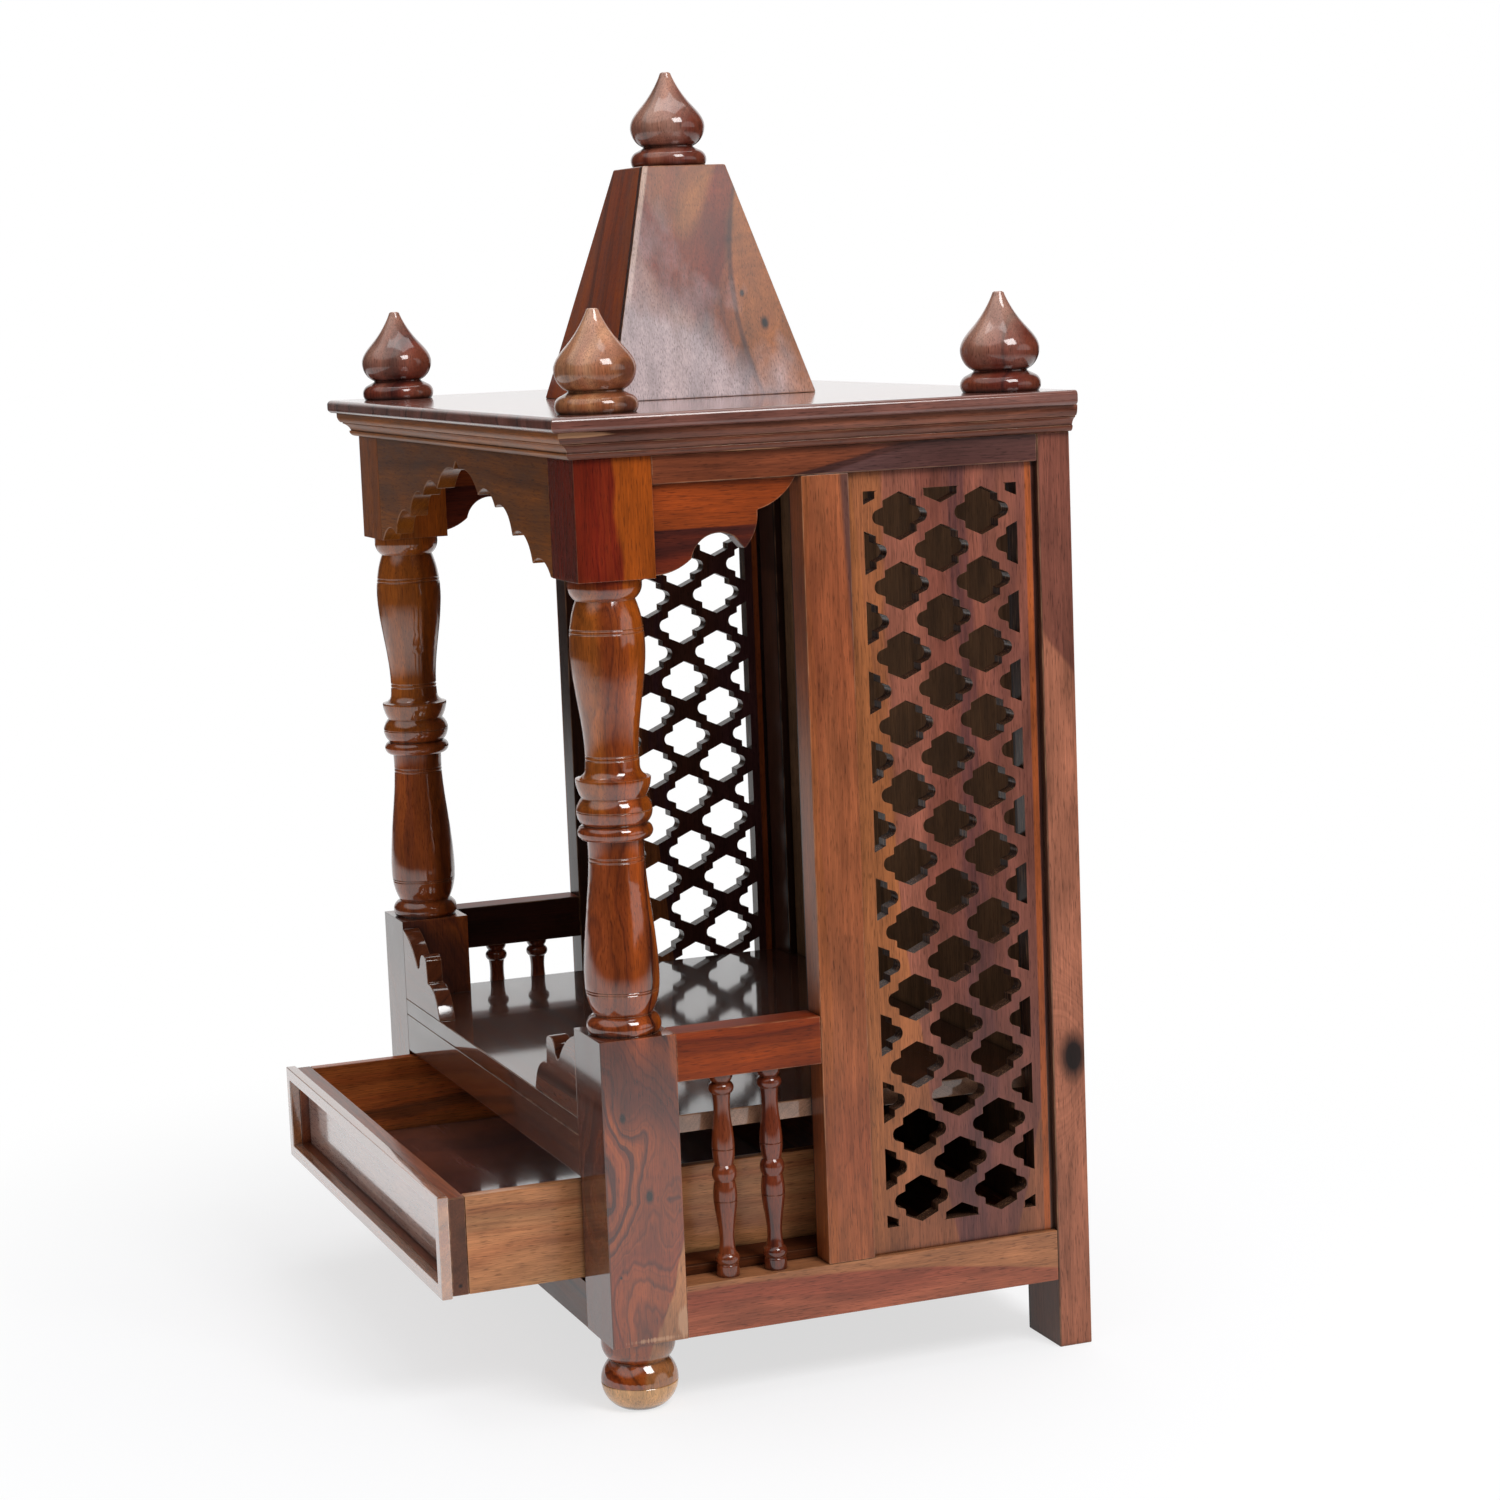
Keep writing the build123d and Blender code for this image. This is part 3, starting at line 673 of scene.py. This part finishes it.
    def dress(self, piece: bpy.types.Object, node: str, finish: Sheesham, arris: float) -> None:
        """Round a piece's arrises, mark them for wear and painted highlight, give it its finish and put it on its
        body.

        Args:
            piece: The piece.
            node: The node that it replaces.
            finish: What it is made of.
            arris: How far the arrises are rounded, in millimetres.
        """
        piece.name = node + ".wood"
        piece.data.name = piece.name
        piece.data.materials.clear()
        material = finish.material(middle_of(node))
        for _ in range(2):
            piece.data.materials.append(material)
        only(piece)
        bevel = piece.modifiers.new("arrises", "BEVEL")
        bevel.width = arris * MM
        bevel.segments = self.arris_steps
        bevel.limit_method = "ANGLE"
        bevel.angle_limit = math.radians(self.arris_angle)
        bevel.material = 1
        bevel.miter_outer = "MITER_ARC"
        bpy.ops.object.modifier_apply(modifier=bevel.name)
        marks = piece.data.attributes.new(ARRIS_FACES, "FLOAT", "FACE")
        for face, mark in zip(piece.data.polygons, marks.data):
            mark.value = float(face.material_index == 1)
            face.material_index = 0
        piece.data.materials.pop(index=1)
        bpy.ops.object.shade_smooth_by_angle(angle=math.radians(self.smooth_angle))
        weighted = piece.modifiers.new("flats", "WEIGHTED_NORMAL")
        weighted.keep_sharp = True
        bpy.ops.object.modifier_apply(modifier=weighted.name)
        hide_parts(node)
        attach(piece, self.body)
        LOG.info("%s made in %s", piece.name, finish.name)


# Clear-polished heartwood, which glows a warm red-brown; dark heartwood, whose figure only shows in a strong
# light; and sapwood, a paler orange tan with soft streaks.
RED = Sheesham("red_sheesham", Grain.UPRIGHT)
DARK = replace(RED, name="dark_sheesham", heart="#4C220F", light="#5B2E14", streak="#2A120B")
TAN = replace(RED, name="tan_sheesham", heart="#9C5C2E", light="#AE733A", streak="#74452A", streak_share=0.3)
SIDES = (("right", 1, 0.0), ("left", -1, 3.0))
UP, DOWN, BACK, FORTH = (0.0, 0.0, 1.0), (0.0, 0.0, -1.0), (0.0, 1.0, 0.0), (0.0, -1.0, 0.0)


@dataclass
class Carcass(Joinery):
    """The posts, the rails and stiles of the side frames, the deck and the back."""

    column_lines: tuple[float, ...] = (14.8, 243.6, 245.2, 318.4, 320.6, 347.0, 376.0, 378.2, 447.6, 449.8)

    def build(self) -> None:
        """Make every piece of the carcass."""
        for side, sign, seed in SIDES:
            self.side_frame(side, sign, seed)
        low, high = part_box("deck")
        edge = (high.x - low.x) / 2 / MM - 0.8
        self.cut_board("deck", replace(
            DARK, grain=Grain.SIDE_TO_SIDE, polish=Polish.DEEP, seed=4.4, zones=end_grain(edge, "#967058", 0.2)))
        self.cut_board("bottom_board", replace(DARK, grain=Grain.SIDE_TO_SIDE, polish=Polish.BARE, seed=4.9))
        self.board("front_rail_upper", replace(DARK, grain=Grain.SIDE_TO_SIDE, polish=Polish.DEEP, seed=5.1))
        self.board("front_rail_lower", replace(DARK, grain=Grain.SIDE_TO_SIDE, seed=5.6))
        self.board("back_panel", replace(
            DARK, heart="#6E5038", light="#78583E", streak="#5A402A", seed=6.2, ring=26.0, polish=Polish.BARE))
        for node, seed in (("back_rail_bottom", 6.6), ("back_rail_top", 6.9)):
            self.board(node, replace(RED, grain=Grain.SIDE_TO_SIDE, seed=seed))

    def side_frame(self, side: str, sign: int, seed: float) -> None:
        """Make the posts, rails and stile of one side.

        Args:
            side: The side's name.
            sign: 1 on the right and -1 on the left.
            seed: What sets this side's figure apart.
        """
        low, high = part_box(f"post_front_{side}")
        axis = ((low.x + high.x) / 2, (low.y + high.y) / 2)
        column, turned = (-58.0, 206.0), (0.355 * sign, 0.935, 0.0)
        # The far, left post's palette is lighter: painted light, standing in for the lamps' light that the case
        # keeps off it.
        heart, light, streak, top = (
            ("#84360E", "#A85016", "#3A150A", "#661004") if side == "right" else
            ("#AC5218", "#C06424", "#8A4420", "#944E18"))
        half = (high.x - low.x) / 2 / MM
        self.turning(f"post_front_{side}", replace(
            RED, name="post_sheesham", heart=heart, light=light, streak=streak, seed=seed,
            polish=Polish.DEEP, pith=(48.0 * sign, -52.0), ring=9.0, swirl=16.0, streak_share=0.42,
            scuffs=(Scuff((10.0 * sign, 4.0, -229.0), (16.0, 22.0, 2.0)),
                    Scuff((22.7 * sign, 21.0, -221.0), (4.0, 4.0, 9.0))),
            # Columns: lighter and oranger over one half, a dark band past their middle, and painted shade down the
            # other edge.
            zones=(Zone(turned, -99.0, -3.0, "#A0581C", 4.0, 0.65, straight=True, span=(74.0, 206.0)),
                   Zone(turned, -99.0, -3.0, "#8C4220", 4.0, 0.6, straight=True, span=(-58.0, 74.0)),
                   Zone(turned, -4.0, 6.5, "#541F0B", 3.0, 0.6, straight=True, span=column),
                   Zone(turned, 14.5, 99.0, "#4A1E0E", 3.0, 0.6, straight=True, span=column),
                   Zone((0.0, 0.5, 0.87), -88.0, -52.0, "#33140F", 10.0, 0.75),
                   Zone(UP, 200.0, tone=top, blur=8.0, strength=0.85),
                   Zone((0.0, 0.98, 0.057), 15.9, tone="#A44E0C"),
                   Zone(DOWN, 54.0, 231.0, "#5A2416", 1.0, 0.4, straight=True),
                   # Painted shade on the lower block's front face.
                   Zone(FORTH, half - 0.9, tone="#3A1C12", blur=0.3, strength=0.6, straight=True,
                        span=(-232.0, -50.0)),
                   Zone((0.0, 0.94, -0.34), 83.5, tone="#A26A3C", blur=1.0),
                   Zone(DOWN, 258.0, tone="#D8A062", blur=0.5, strength=0.95)),
            crotch=Crotch(-148.0, 95.0, 0.55),
            knots=(Knot((22.7 * sign, 3.0, -145.0), 2.2, 24.0), Knot((22.7 * sign, -11.0, -98.0), 1.6, 16.0),
                   Knot((22.7 * sign, -16.0, -190.0), 0.6, 40.0)),
        ), [axis], self.column_lines)
        self.board(f"post_rear_{side}", replace(
            RED, name="rear_post_sheesham", heart="#6C3C30", light="#784435", streak="#5A2E26", streak_share=0.3,
            seed=seed + 1.3, polish=Polish.RUBBED, knots=(Knot((21.5 * sign, 3.0, -96.0), 7.5, 44.0),),
            zones=(Zone((0.0, -0.86, -0.51), -76.0, tone="#A2644A"),
                   # Painted shade on the rear post's front face and on its face that looks into the case.
                   Zone(FORTH, 9.6, tone="#3E2A20", blur=0.3, straight=True), painted_inner_shade(sign, half - 4.0))))
        self.board(f"side_rail_bottom_{side}", replace(
            RED, name="bottom_rail_sheesham", grain=Grain.FRONT_TO_BACK, heart="#8A4632", light="#96523A",
            streak="#6A3022", seed=seed + 0.7, streak_share=0.3,
            zones=(Zone(UP, 10.5, tone="#A26C46", blur=1.0, bend=0.00035, centre=-100.0),)))
        self.board(f"side_rail_top_{side}", replace(
            RED, name="top_rail_sheesham", grain=Grain.FRONT_TO_BACK, heart="#523634", light="#5C3E3A",
            streak="#3C2624", seed=seed + 2.1, zones=(
                Zone((0.0, -0.16, 0.98), -1.0, tone="#743614", blur=0.8),
                Zone((0.0, -0.16, 0.98), -4.0, -0.4, "#32140C", 0.8),
                Zone((0.0, 0.96, 0.28), 22.0, tone="#54302A", blur=40.0))))
        # Handrail: painted shade on its face that looks into the case.
        self.board(f"side_handrail_{side}", replace(
            RED, name="handrail_sheesham", grain=Grain.FRONT_TO_BACK, heart="#782803", light="#843408",
            streak="#5A1A04", seed=seed + 2.6, polish=Polish.RUBBED, zones=(painted_inner_shade(sign, 9.0, "#26120A"),)))
        # Stile: painted shade on its face that looks into the case.
        self.board(f"side_stile_{side}", replace(
            RED, name="stile_sheesham", heart="#844528", light="#90502F", streak="#6A3420", seed=seed + 1.9,
            streak_share=0.3, zones=(
                Zone(FORTH, 10.6, tone="#8E4E28", blur=0.8),
                Zone(DOWN, 130.0, 190.0, "#7A3A24", 30.0, 0.45), Zone(UP, 90.0, 200.0, "#8A4426", 40.0, 0.5),
                Zone((0.0, 0.9989, 0.047), 19.7, tone="#4A3230", blur=1.5, straight=True),
                painted_inner_shade(sign, 8.0 if side == "right" else -8.0))))
        # Runners: their dark palette is painted shade, as they lie under the drawer, and their pale arrises are
        # partly a painted highlight.
        self.keep(f"drawer_runner_{side}", replace(
            DARK, grain=Grain.FRONT_TO_BACK, seed=seed, polish=Polish.BARE, shader_arris=0.5))


@dataclass
class PiercedSides(Joinery):
    """The pierced panels, the brackets and the spindles of the two sides."""

    spindle_lines: tuple[float, ...] = (116.6, 147.2)

    def build(self) -> None:
        """Make the pieces of both sides."""
        for side, sign, seed in SIDES:
            low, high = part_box(f"side_jali_{side}")
            edge = (high.y - low.y) / 2 / MM
            # The left panel's palette is darker: painted shade, as it is seen from inside the case.
            heart, light = ("#7C4436", "#8C5240") if side == "right" else ("#4E2C22", "#5A3226")
            self.keep(f"side_jali_{side}", replace(
                RED, name="panel_sheesham", heart=heart, light=light, streak="#4C2C30", seed=seed + 0.4,
                streak_share=0.42, ring=17.0, shader_arris=0.5, sawn="#3A241A", zones=(
                    Zone(DOWN, 271.0, tone="#A86436", blur=5.0, bend=0.102, centre=17.0),
                    Zone(FORTH, 36.0, tone="#90552F", blur=2.0),
                    Zone((0.0, 0.96, -0.28), 14.0, tone="#54302C", blur=26.0, strength=0.5),
                    Zone(BACK, edge - 6.5, edge - 2.6, "#A04E1C", 0.5, straight=True),
                    # Painted shadow in the gap at the panel's back edge.
                    Zone(BACK, edge - 2.4, tone="#1C0D08", blur=0.3, straight=True))))
            self.cut_board(f"side_bracket_{side}", replace(
                RED, name="bracket_sheesham", grain=Grain.FRONT_TO_BACK, heart="#621F0C", light="#702A10",
                seed=seed + 0.9, zones=(Zone(UP, 1.0, tone="#8E3C0C", blur=0.5),)))
            low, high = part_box(f"side_spindles_{side}")
            radius = (high.x - low.x) / 2
            axes = [((low.x + high.x) / 2, y) for y in (low.y + radius, high.y - radius)]
            self.turning(f"side_spindles_{side}", replace(
                RED, name="spindle_sheesham", heart="#6A2C16", light="#7E3C1E", streak="#3E1810", seed=seed + 1.1,
                polish=Polish.BRIGHT), axes, self.spindle_lines, arris=0.3)


@dataclass
class FrontTrim(Joinery):
    """The cusped arch board and the two horns on the deck."""

    def build(self) -> None:
        """Make the pieces of the front."""
        self.cut_board("front_arch", replace(
            DARK, name="arch_sheesham", grain=Grain.SIDE_TO_SIDE, heart="#6E3A0C", light="#7A4210",
            streak="#5A2E0A", seed=2.2, ring=24.0, streak_share=0.3,
            zones=(Zone(DOWN, 12.0, tone="#9A5412", blur=12.0, strength=0.7),)))
        for side, _, seed in SIDES:
            self.cut_board(f"deck_horn_{side}", replace(
                DARK, grain=Grain.SIDE_TO_SIDE, heart="#5E2C14", light="#6C361A", seed=seed + 2.8,
                polish=Polish.DEEP))


@dataclass
class Roof(Joinery):
    """The cornice, the top board, the tower and the five finials."""

    def build(self) -> None:
        """Make the pieces above the case."""
        self.cut_board("top_board", replace(
            RED, name="top_board_sheesham", grain=Grain.FRONT_TO_BACK, heart="#72463C", light="#825248",
            streak="#50302C", seed=1.5, polish=Polish.BRIGHT), arris=0.3)
        # Cornice: strong wear and a painted highlight along the arrises of its steps.
        self.cut_board("cornice_front", replace(
            DARK, name="cornice_sheesham", grain=Grain.SIDE_TO_SIDE, heart="#8C4A18", light="#A05E20",
            streak="#5E3012", seed=1.8, wear_and_highlight=0.8, polish=Polish.RUBBED), arris=0.4)
        for side, sign, seed in SIDES:
            self.cut_board(f"cornice_{side}", replace(
                RED, name="cornice_sheesham", grain=Grain.FRONT_TO_BACK, heart="#784430", light="#88523A",
                seed=1.8 + seed, wear_and_highlight=0.8, scuffs=(
                    Scuff((10.0 * sign, -150.0, 6.0), (30.0, 24.0, 1.6)),
                    Scuff((5.0 * sign, -40.0, -8.0), (30.0, 20.0, 1.0)))), arris=0.4)
        for number, side in enumerate(("front", "right", "back", "left")):
            # Tower sides: a painted sheen, strongest low down and towards the front; the front side has none.
            finish = replace(
                RED, name="tower_sheesham", heart="#783E28", light="#92582F", streak="#4A2620",
                seed=7.1 + number, ring=18.0, streak_share=0.36, polish=Polish.RUBBED,
                painted_sheen=PaintedSheen(0.85, (0.0, -0.75, -0.66), 34.0))
            if side == "front":
                finish = replace(
                    finish, heart="#963C08", light="#A64A10", streak="#6A2A08", painted_sheen=None,
                    polish=Polish.BRIGHT, zones=(
                        Zone((0.9635, 0.0, 0.2675), 40.4, tone="#2E0F06", blur=0.8, strength=0.9, straight=True),))
            if side == "right":
                rear, front = (0.0, 0.9635, 0.2675), (0.0, -0.9635, 0.2675)
                finish = replace(
                    finish, knots=(Knot((7.4, 26.3, -8.6), 1.3, 8.0), Knot((12.6, 38.6, -27.0), 2.2, 12.0)),
                    zones=(Zone(rear, 12.5, 99.0, "#9E5E30", 2.0, 0.7, -0.00244, UP, -60.0, True),
                           Zone(rear, 9.8, 12.6, "#4A2A22", 1.0, 0.75, -0.00244, UP, -60.0, True),
                           Zone(rear, 2.0, 3.6, "#5A342A", 1.0, 0.6, -0.0022, UP, -60.0, True),
                           Zone(UP, -22.0, 28.0, "#6E2616", 8.0, 0.85, -0.06, BACK, -8.0),
                           # Painted sheen along the face's front edge.
                           Zone(front, 41.3, tone="#CDB09E", blur=0.8, strength=0.6, straight=True)))
            self.cut_board(f"tower_{side}", finish)
        self.keep("tower_cap", replace(RED, seed=8.8))
        for number, place in enumerate(("tower", "front_right", "front_left", "rear_right", "rear_left")):
            near = place == "front_right"
            heart, light, streak = (
                ("#A05E3C", "#BE8458", "#6E4030") if near else ("#6E3024", "#864632", "#4E2420"))
            # Finials: a warm painted highlight on the upper front shoulders, and painted shade down the side to the
            # right of the view.
            self.keep(f"finial_{place}", replace(
                RED, name="finial_sheesham", heart=heart, light=light, streak=streak, seed=9.0 + number,
                ring=12.0, streak_share=0.36, polish=Polish.BRIGHT,
                painted_sheen=PaintedSheen(0.45, (0.2, -0.6, 0.77), 20.0, "#CFAA96"),
                zones=(Zone((0.355, 0.935, 0.0), 13.0, tone="#5E3020", blur=5.0, strength=0.5, straight=True),),
                scuffs=(Scuff((13.0, -4.0, -21.0), (9.0, 11.0, 2.4)),) if near else ()))


@dataclass
class Drawer(Joinery):
    """The drawer: its lip and front, its recessed panel, and the box behind them."""

    body: str = "drawer"

    def build(self) -> None:
        """Make the pieces of the drawer."""
        across = replace(TAN, grain=Grain.SIDE_TO_SIDE, polish=Polish.MIRROR)
        along = replace(TAN, name="drawer_side_sheesham", grain=Grain.FRONT_TO_BACK, ring=7.0)
        # Drawer lip: strong wear and painted highlight on its arrises.
        self.cut_board("drawer_lip", replace(across, heart="#9A5A34", light="#B07242", seed=3.1, wear_and_highlight=0.9))
        self.cut_board("drawer_front", replace(
            across, heart="#7A3E24", light="#8A4A2C", streak="#56291A", seed=3.4, polish=Polish.SATIN,
            knots=(Knot((183.0, 0.0, -23.0), 1.1, 0.5),), zones=end_grain(182.0, "#4A2C1C", 0.3)))
        # The panel's pale palette is partly painted reflection of the white round the object in its polish.
        self.board("drawer_panel", replace(across, heart="#B08674", light="#BE9684", streak="#9A7262", seed=3.7))
        self.board("drawer_side_right", replace(along, heart="#A96A42", light="#BC8456", seed=3.9))
        # The left side is lighter: painted light on its inner face, which the case keeps in shade.
        self.board("drawer_side_left", replace(along, heart="#C0602C", light="#CC7236", seed=4.2))
        self.board("drawer_back", replace(DARK, grain=Grain.SIDE_TO_SIDE, seed=4.5))
        # The bottom's lighter palette is partly painted reflection in its polish.
        self.board("drawer_bottom", replace(
            DARK, grain=Grain.SIDE_TO_SIDE, heart="#8A5042", light="#94584A", streak="#7E4A3E", ring=24.0,
            seed=4.8, polish=Polish.MIRROR))


@dataclass
class Studio:
    """A studio's pale floor and white surroundings, its lamps and the camera.

    The backdrop behind the object is white, to the eye and in its gloss, and the room before it is dim. A bright
    wall is its direction, the cosines where it starts and is full, and its strength. A lamp is its name, place,
    aim, side in metres and power in watts.
    """

    floor_side: float = 12.0
    lens: float = 80.36
    sensor: float = 36.0
    camera_place: Triple = (1.97437, -0.6781, 0.63942)
    camera_turn: Triple = (82.0564, 2.2322, 68.902)
    camera_shift: tuple[float, float] = (0.0054, -0.0022)
    sky: tuple[float, float] = (0.1, 0.55)
    sky_height: float = 0.8
    room: str = "#1E140E"
    bright_walls: tuple[tuple[Triple, float, float, float], ...] = (
        ((-0.92, 0.36, 0.12), 0.78, 0.93, 1.0),
        ((0.1, -0.45, 0.88), 0.72, 0.88, 1.0),
        ((0.65, 0.75, 0.0), 0.88, 0.95, 0.9),
    )
    lamps: tuple[tuple[str, Triple, Triple, float, float], ...] = (
        ("key", (1.9, 0.6, 2.2), (0.0, 0.0, 0.4), 1.1, 46.0),
        ("top", (-0.4, 0.3, 2.6), (0.0, 0.0, 0.5), 1.8, 22.0),
    )
    paper: str = "#F6F7FA"
    paper_share: float = 0.32
    shadow_reach: tuple[float, float] = (0.2, 0.75)
    white_middle: Triple = (-0.7, 0.0, 0.0)
    white_reach: tuple[float, float] = (1.4, 2.4)

    @staticmethod
    def rays(tree: bpy.types.NodeTree) -> tuple[bpy.types.NodeSocket, bpy.types.NodeSocket]:
        """Add the masks of what the eye sees straight and of what it sees mirrored.

        Args:
            tree: The node tree.

        Returns:
            The two masks.
        """
        path = add_node(tree, "ShaderNodeLightPath").outputs
        mirrored = add_node(tree, "ShaderNodeMath", {
            0: path["Is Glossy Ray"], 1: path["Is Transmission Ray"]}, operation="MAXIMUM").outputs[0]
        return path["Is Camera Ray"], mirrored

    def light(self) -> None:
        """Make the air and the soft lamps of the studio."""
        world = bpy.data.worlds.new("studio_air")
        bpy.context.scene.world = world
        world.use_nodes = True
        tree = world.node_tree
        tree.nodes.clear()
        eye, mirrored = self.rays(tree)
        way = add_node(tree, "ShaderNodeTexCoord").outputs["Generated"]
        wall = 0.0
        for aim, start, full, strength in self.bright_walls:
            near = add_node(tree, "ShaderNodeVectorMath", {
                0: way, 1: Vector(aim).normalized()}, operation="DOT_PRODUCT").outputs["Value"]
            lobe = add_node(tree, "ShaderNodeMapRange", {
                "Value": near, "From Min": start, "From Max": full, "To Max": strength,
            }, interpolation_type="SMOOTHSTEP").outputs[0]
            wall = add_node(tree, "ShaderNodeMath", {0: wall, 1: lobe}, operation="MAXIMUM").outputs[0]
        gloss = add_node(tree, "ShaderNodeMix", {
            0: wall, 6: linear(self.room), 7: WHITE}, data_type="RGBA").outputs[2]
        height = add_node(tree, "ShaderNodeSeparateXYZ", {0: way}).outputs[2]
        air = add_node(tree, "ShaderNodeMapRange", {
            "Value": height, "From Max": self.sky_height, "To Min": self.sky[0], "To Max": self.sky[1]})
        colour = add_node(tree, "ShaderNodeMix", {0: mirrored, 6: air.outputs[0], 7: gloss}, data_type="RGBA")
        colour = add_node(tree, "ShaderNodeMix", {
            0: eye, 6: colour.outputs[2], 7: WHITE}, data_type="RGBA").outputs[2]
        backdrop = add_node(tree, "ShaderNodeBackground", {"Color": colour, "Strength": 1.0})
        add_node(tree, "ShaderNodeOutputWorld", {0: backdrop.outputs[0]})
        for name, place, aim, side, power in self.lamps:
            lamp = bpy.data.lights.new(name, "AREA")
            lamp.energy, lamp.size = power, side
            holder = bpy.data.objects.new(name, lamp)
            bpy.context.scene.collection.objects.link(holder)
            holder.location = place
            holder.rotation_euler = (Vector(aim) - Vector(place)).to_track_quat("-Z", "Y").to_euler()

    def floor(self) -> None:
        """Lay the pale floor: matt paper that keeps the shadow and fades into the white round it."""
        bpy.ops.object.select_all(action="DESELECT")
        bpy.ops.mesh.primitive_plane_add(size=self.floor_side, location=(0, 0, 0))
        plane = bpy.context.object
        plane.name = "studio_floor"
        material = bpy.data.materials.new("matt_paper")
        material.use_nodes = True
        tree = material.node_tree
        tree.nodes.clear()
        place = add_node(tree, "ShaderNodeTexCoord").outputs["Object"]
        away = add_node(tree, "ShaderNodeVectorMath", {0: place}, operation="LENGTH").outputs["Value"]
        far = add_node(tree, "ShaderNodeVectorMath", {
            0: place, 1: self.white_middle}, operation="DISTANCE").outputs["Value"]
        eye, mirrored = self.rays(tree)
        seen = add_node(tree, "ShaderNodeMath", {0: eye, 1: mirrored}, operation="MAXIMUM").outputs[0]
        fade = add_node(tree, "ShaderNodeMapRange", {
            "Value": away, "From Min": self.shadow_reach[0], "From Max": self.shadow_reach[1],
            "To Min": 1 - self.paper_share}, interpolation_type="SMOOTHSTEP").outputs[0]
        fade = add_node(tree, "ShaderNodeMath", {0: fade, 1: seen}, operation="MULTIPLY").outputs[0]
        end = add_node(tree, "ShaderNodeMapRange", {
            "Value": far, "From Min": self.white_reach[0], "From Max": self.white_reach[1],
        }, interpolation_type="SMOOTHSTEP").outputs[0]
        end = add_node(tree, "ShaderNodeMath", {0: end, 1: mirrored}, operation="MULTIPLY").outputs[0]
        glow = add_node(tree, "ShaderNodeMix", {
            0: end, 6: WHITE, 7: linear(self.room)}, data_type="RGBA").outputs[2]
        paper = add_node(tree, "ShaderNodeBsdfDiffuse", {"Color": linear(self.paper)}).outputs[0]
        white = add_node(tree, "ShaderNodeEmission", {"Color": glow, "Strength": 1.0}).outputs[0]
        mixed = add_node(tree, "ShaderNodeMixShader", {0: fade, 1: paper, 2: white}).outputs[0]
        add_node(tree, "ShaderNodeOutputMaterial", {0: mixed})
        plane.data.materials.append(material)

    def camera(self) -> None:
        """Stand the camera where the photograph was taken from."""
        lens = bpy.data.cameras.new("camera")
        holder = bpy.data.objects.new("camera", lens)
        bpy.context.scene.collection.objects.link(holder)
        lens.sensor_width = self.sensor
        lens.lens = self.lens
        lens.shift_x, lens.shift_y = self.camera_shift
        holder.location = self.camera_place
        holder.rotation_euler = [math.radians(angle) for angle in self.camera_turn]
        bpy.context.scene.camera = holder


def main() -> None:
    """Build the shrine's looks and set up the studio."""
    logging.basicConfig(level=logging.INFO, format="%(message)s")
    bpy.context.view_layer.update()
    bpy.context.scene.view_settings.view_transform = "Standard"
    studio = Studio()
    studio.camera()
    studio.light()
    studio.floor()
    for part in (Carcass(), PiercedSides(), FrontTrim(), Roof(), Drawer()):
        part.build()


if __name__ == "__main__":
    main()
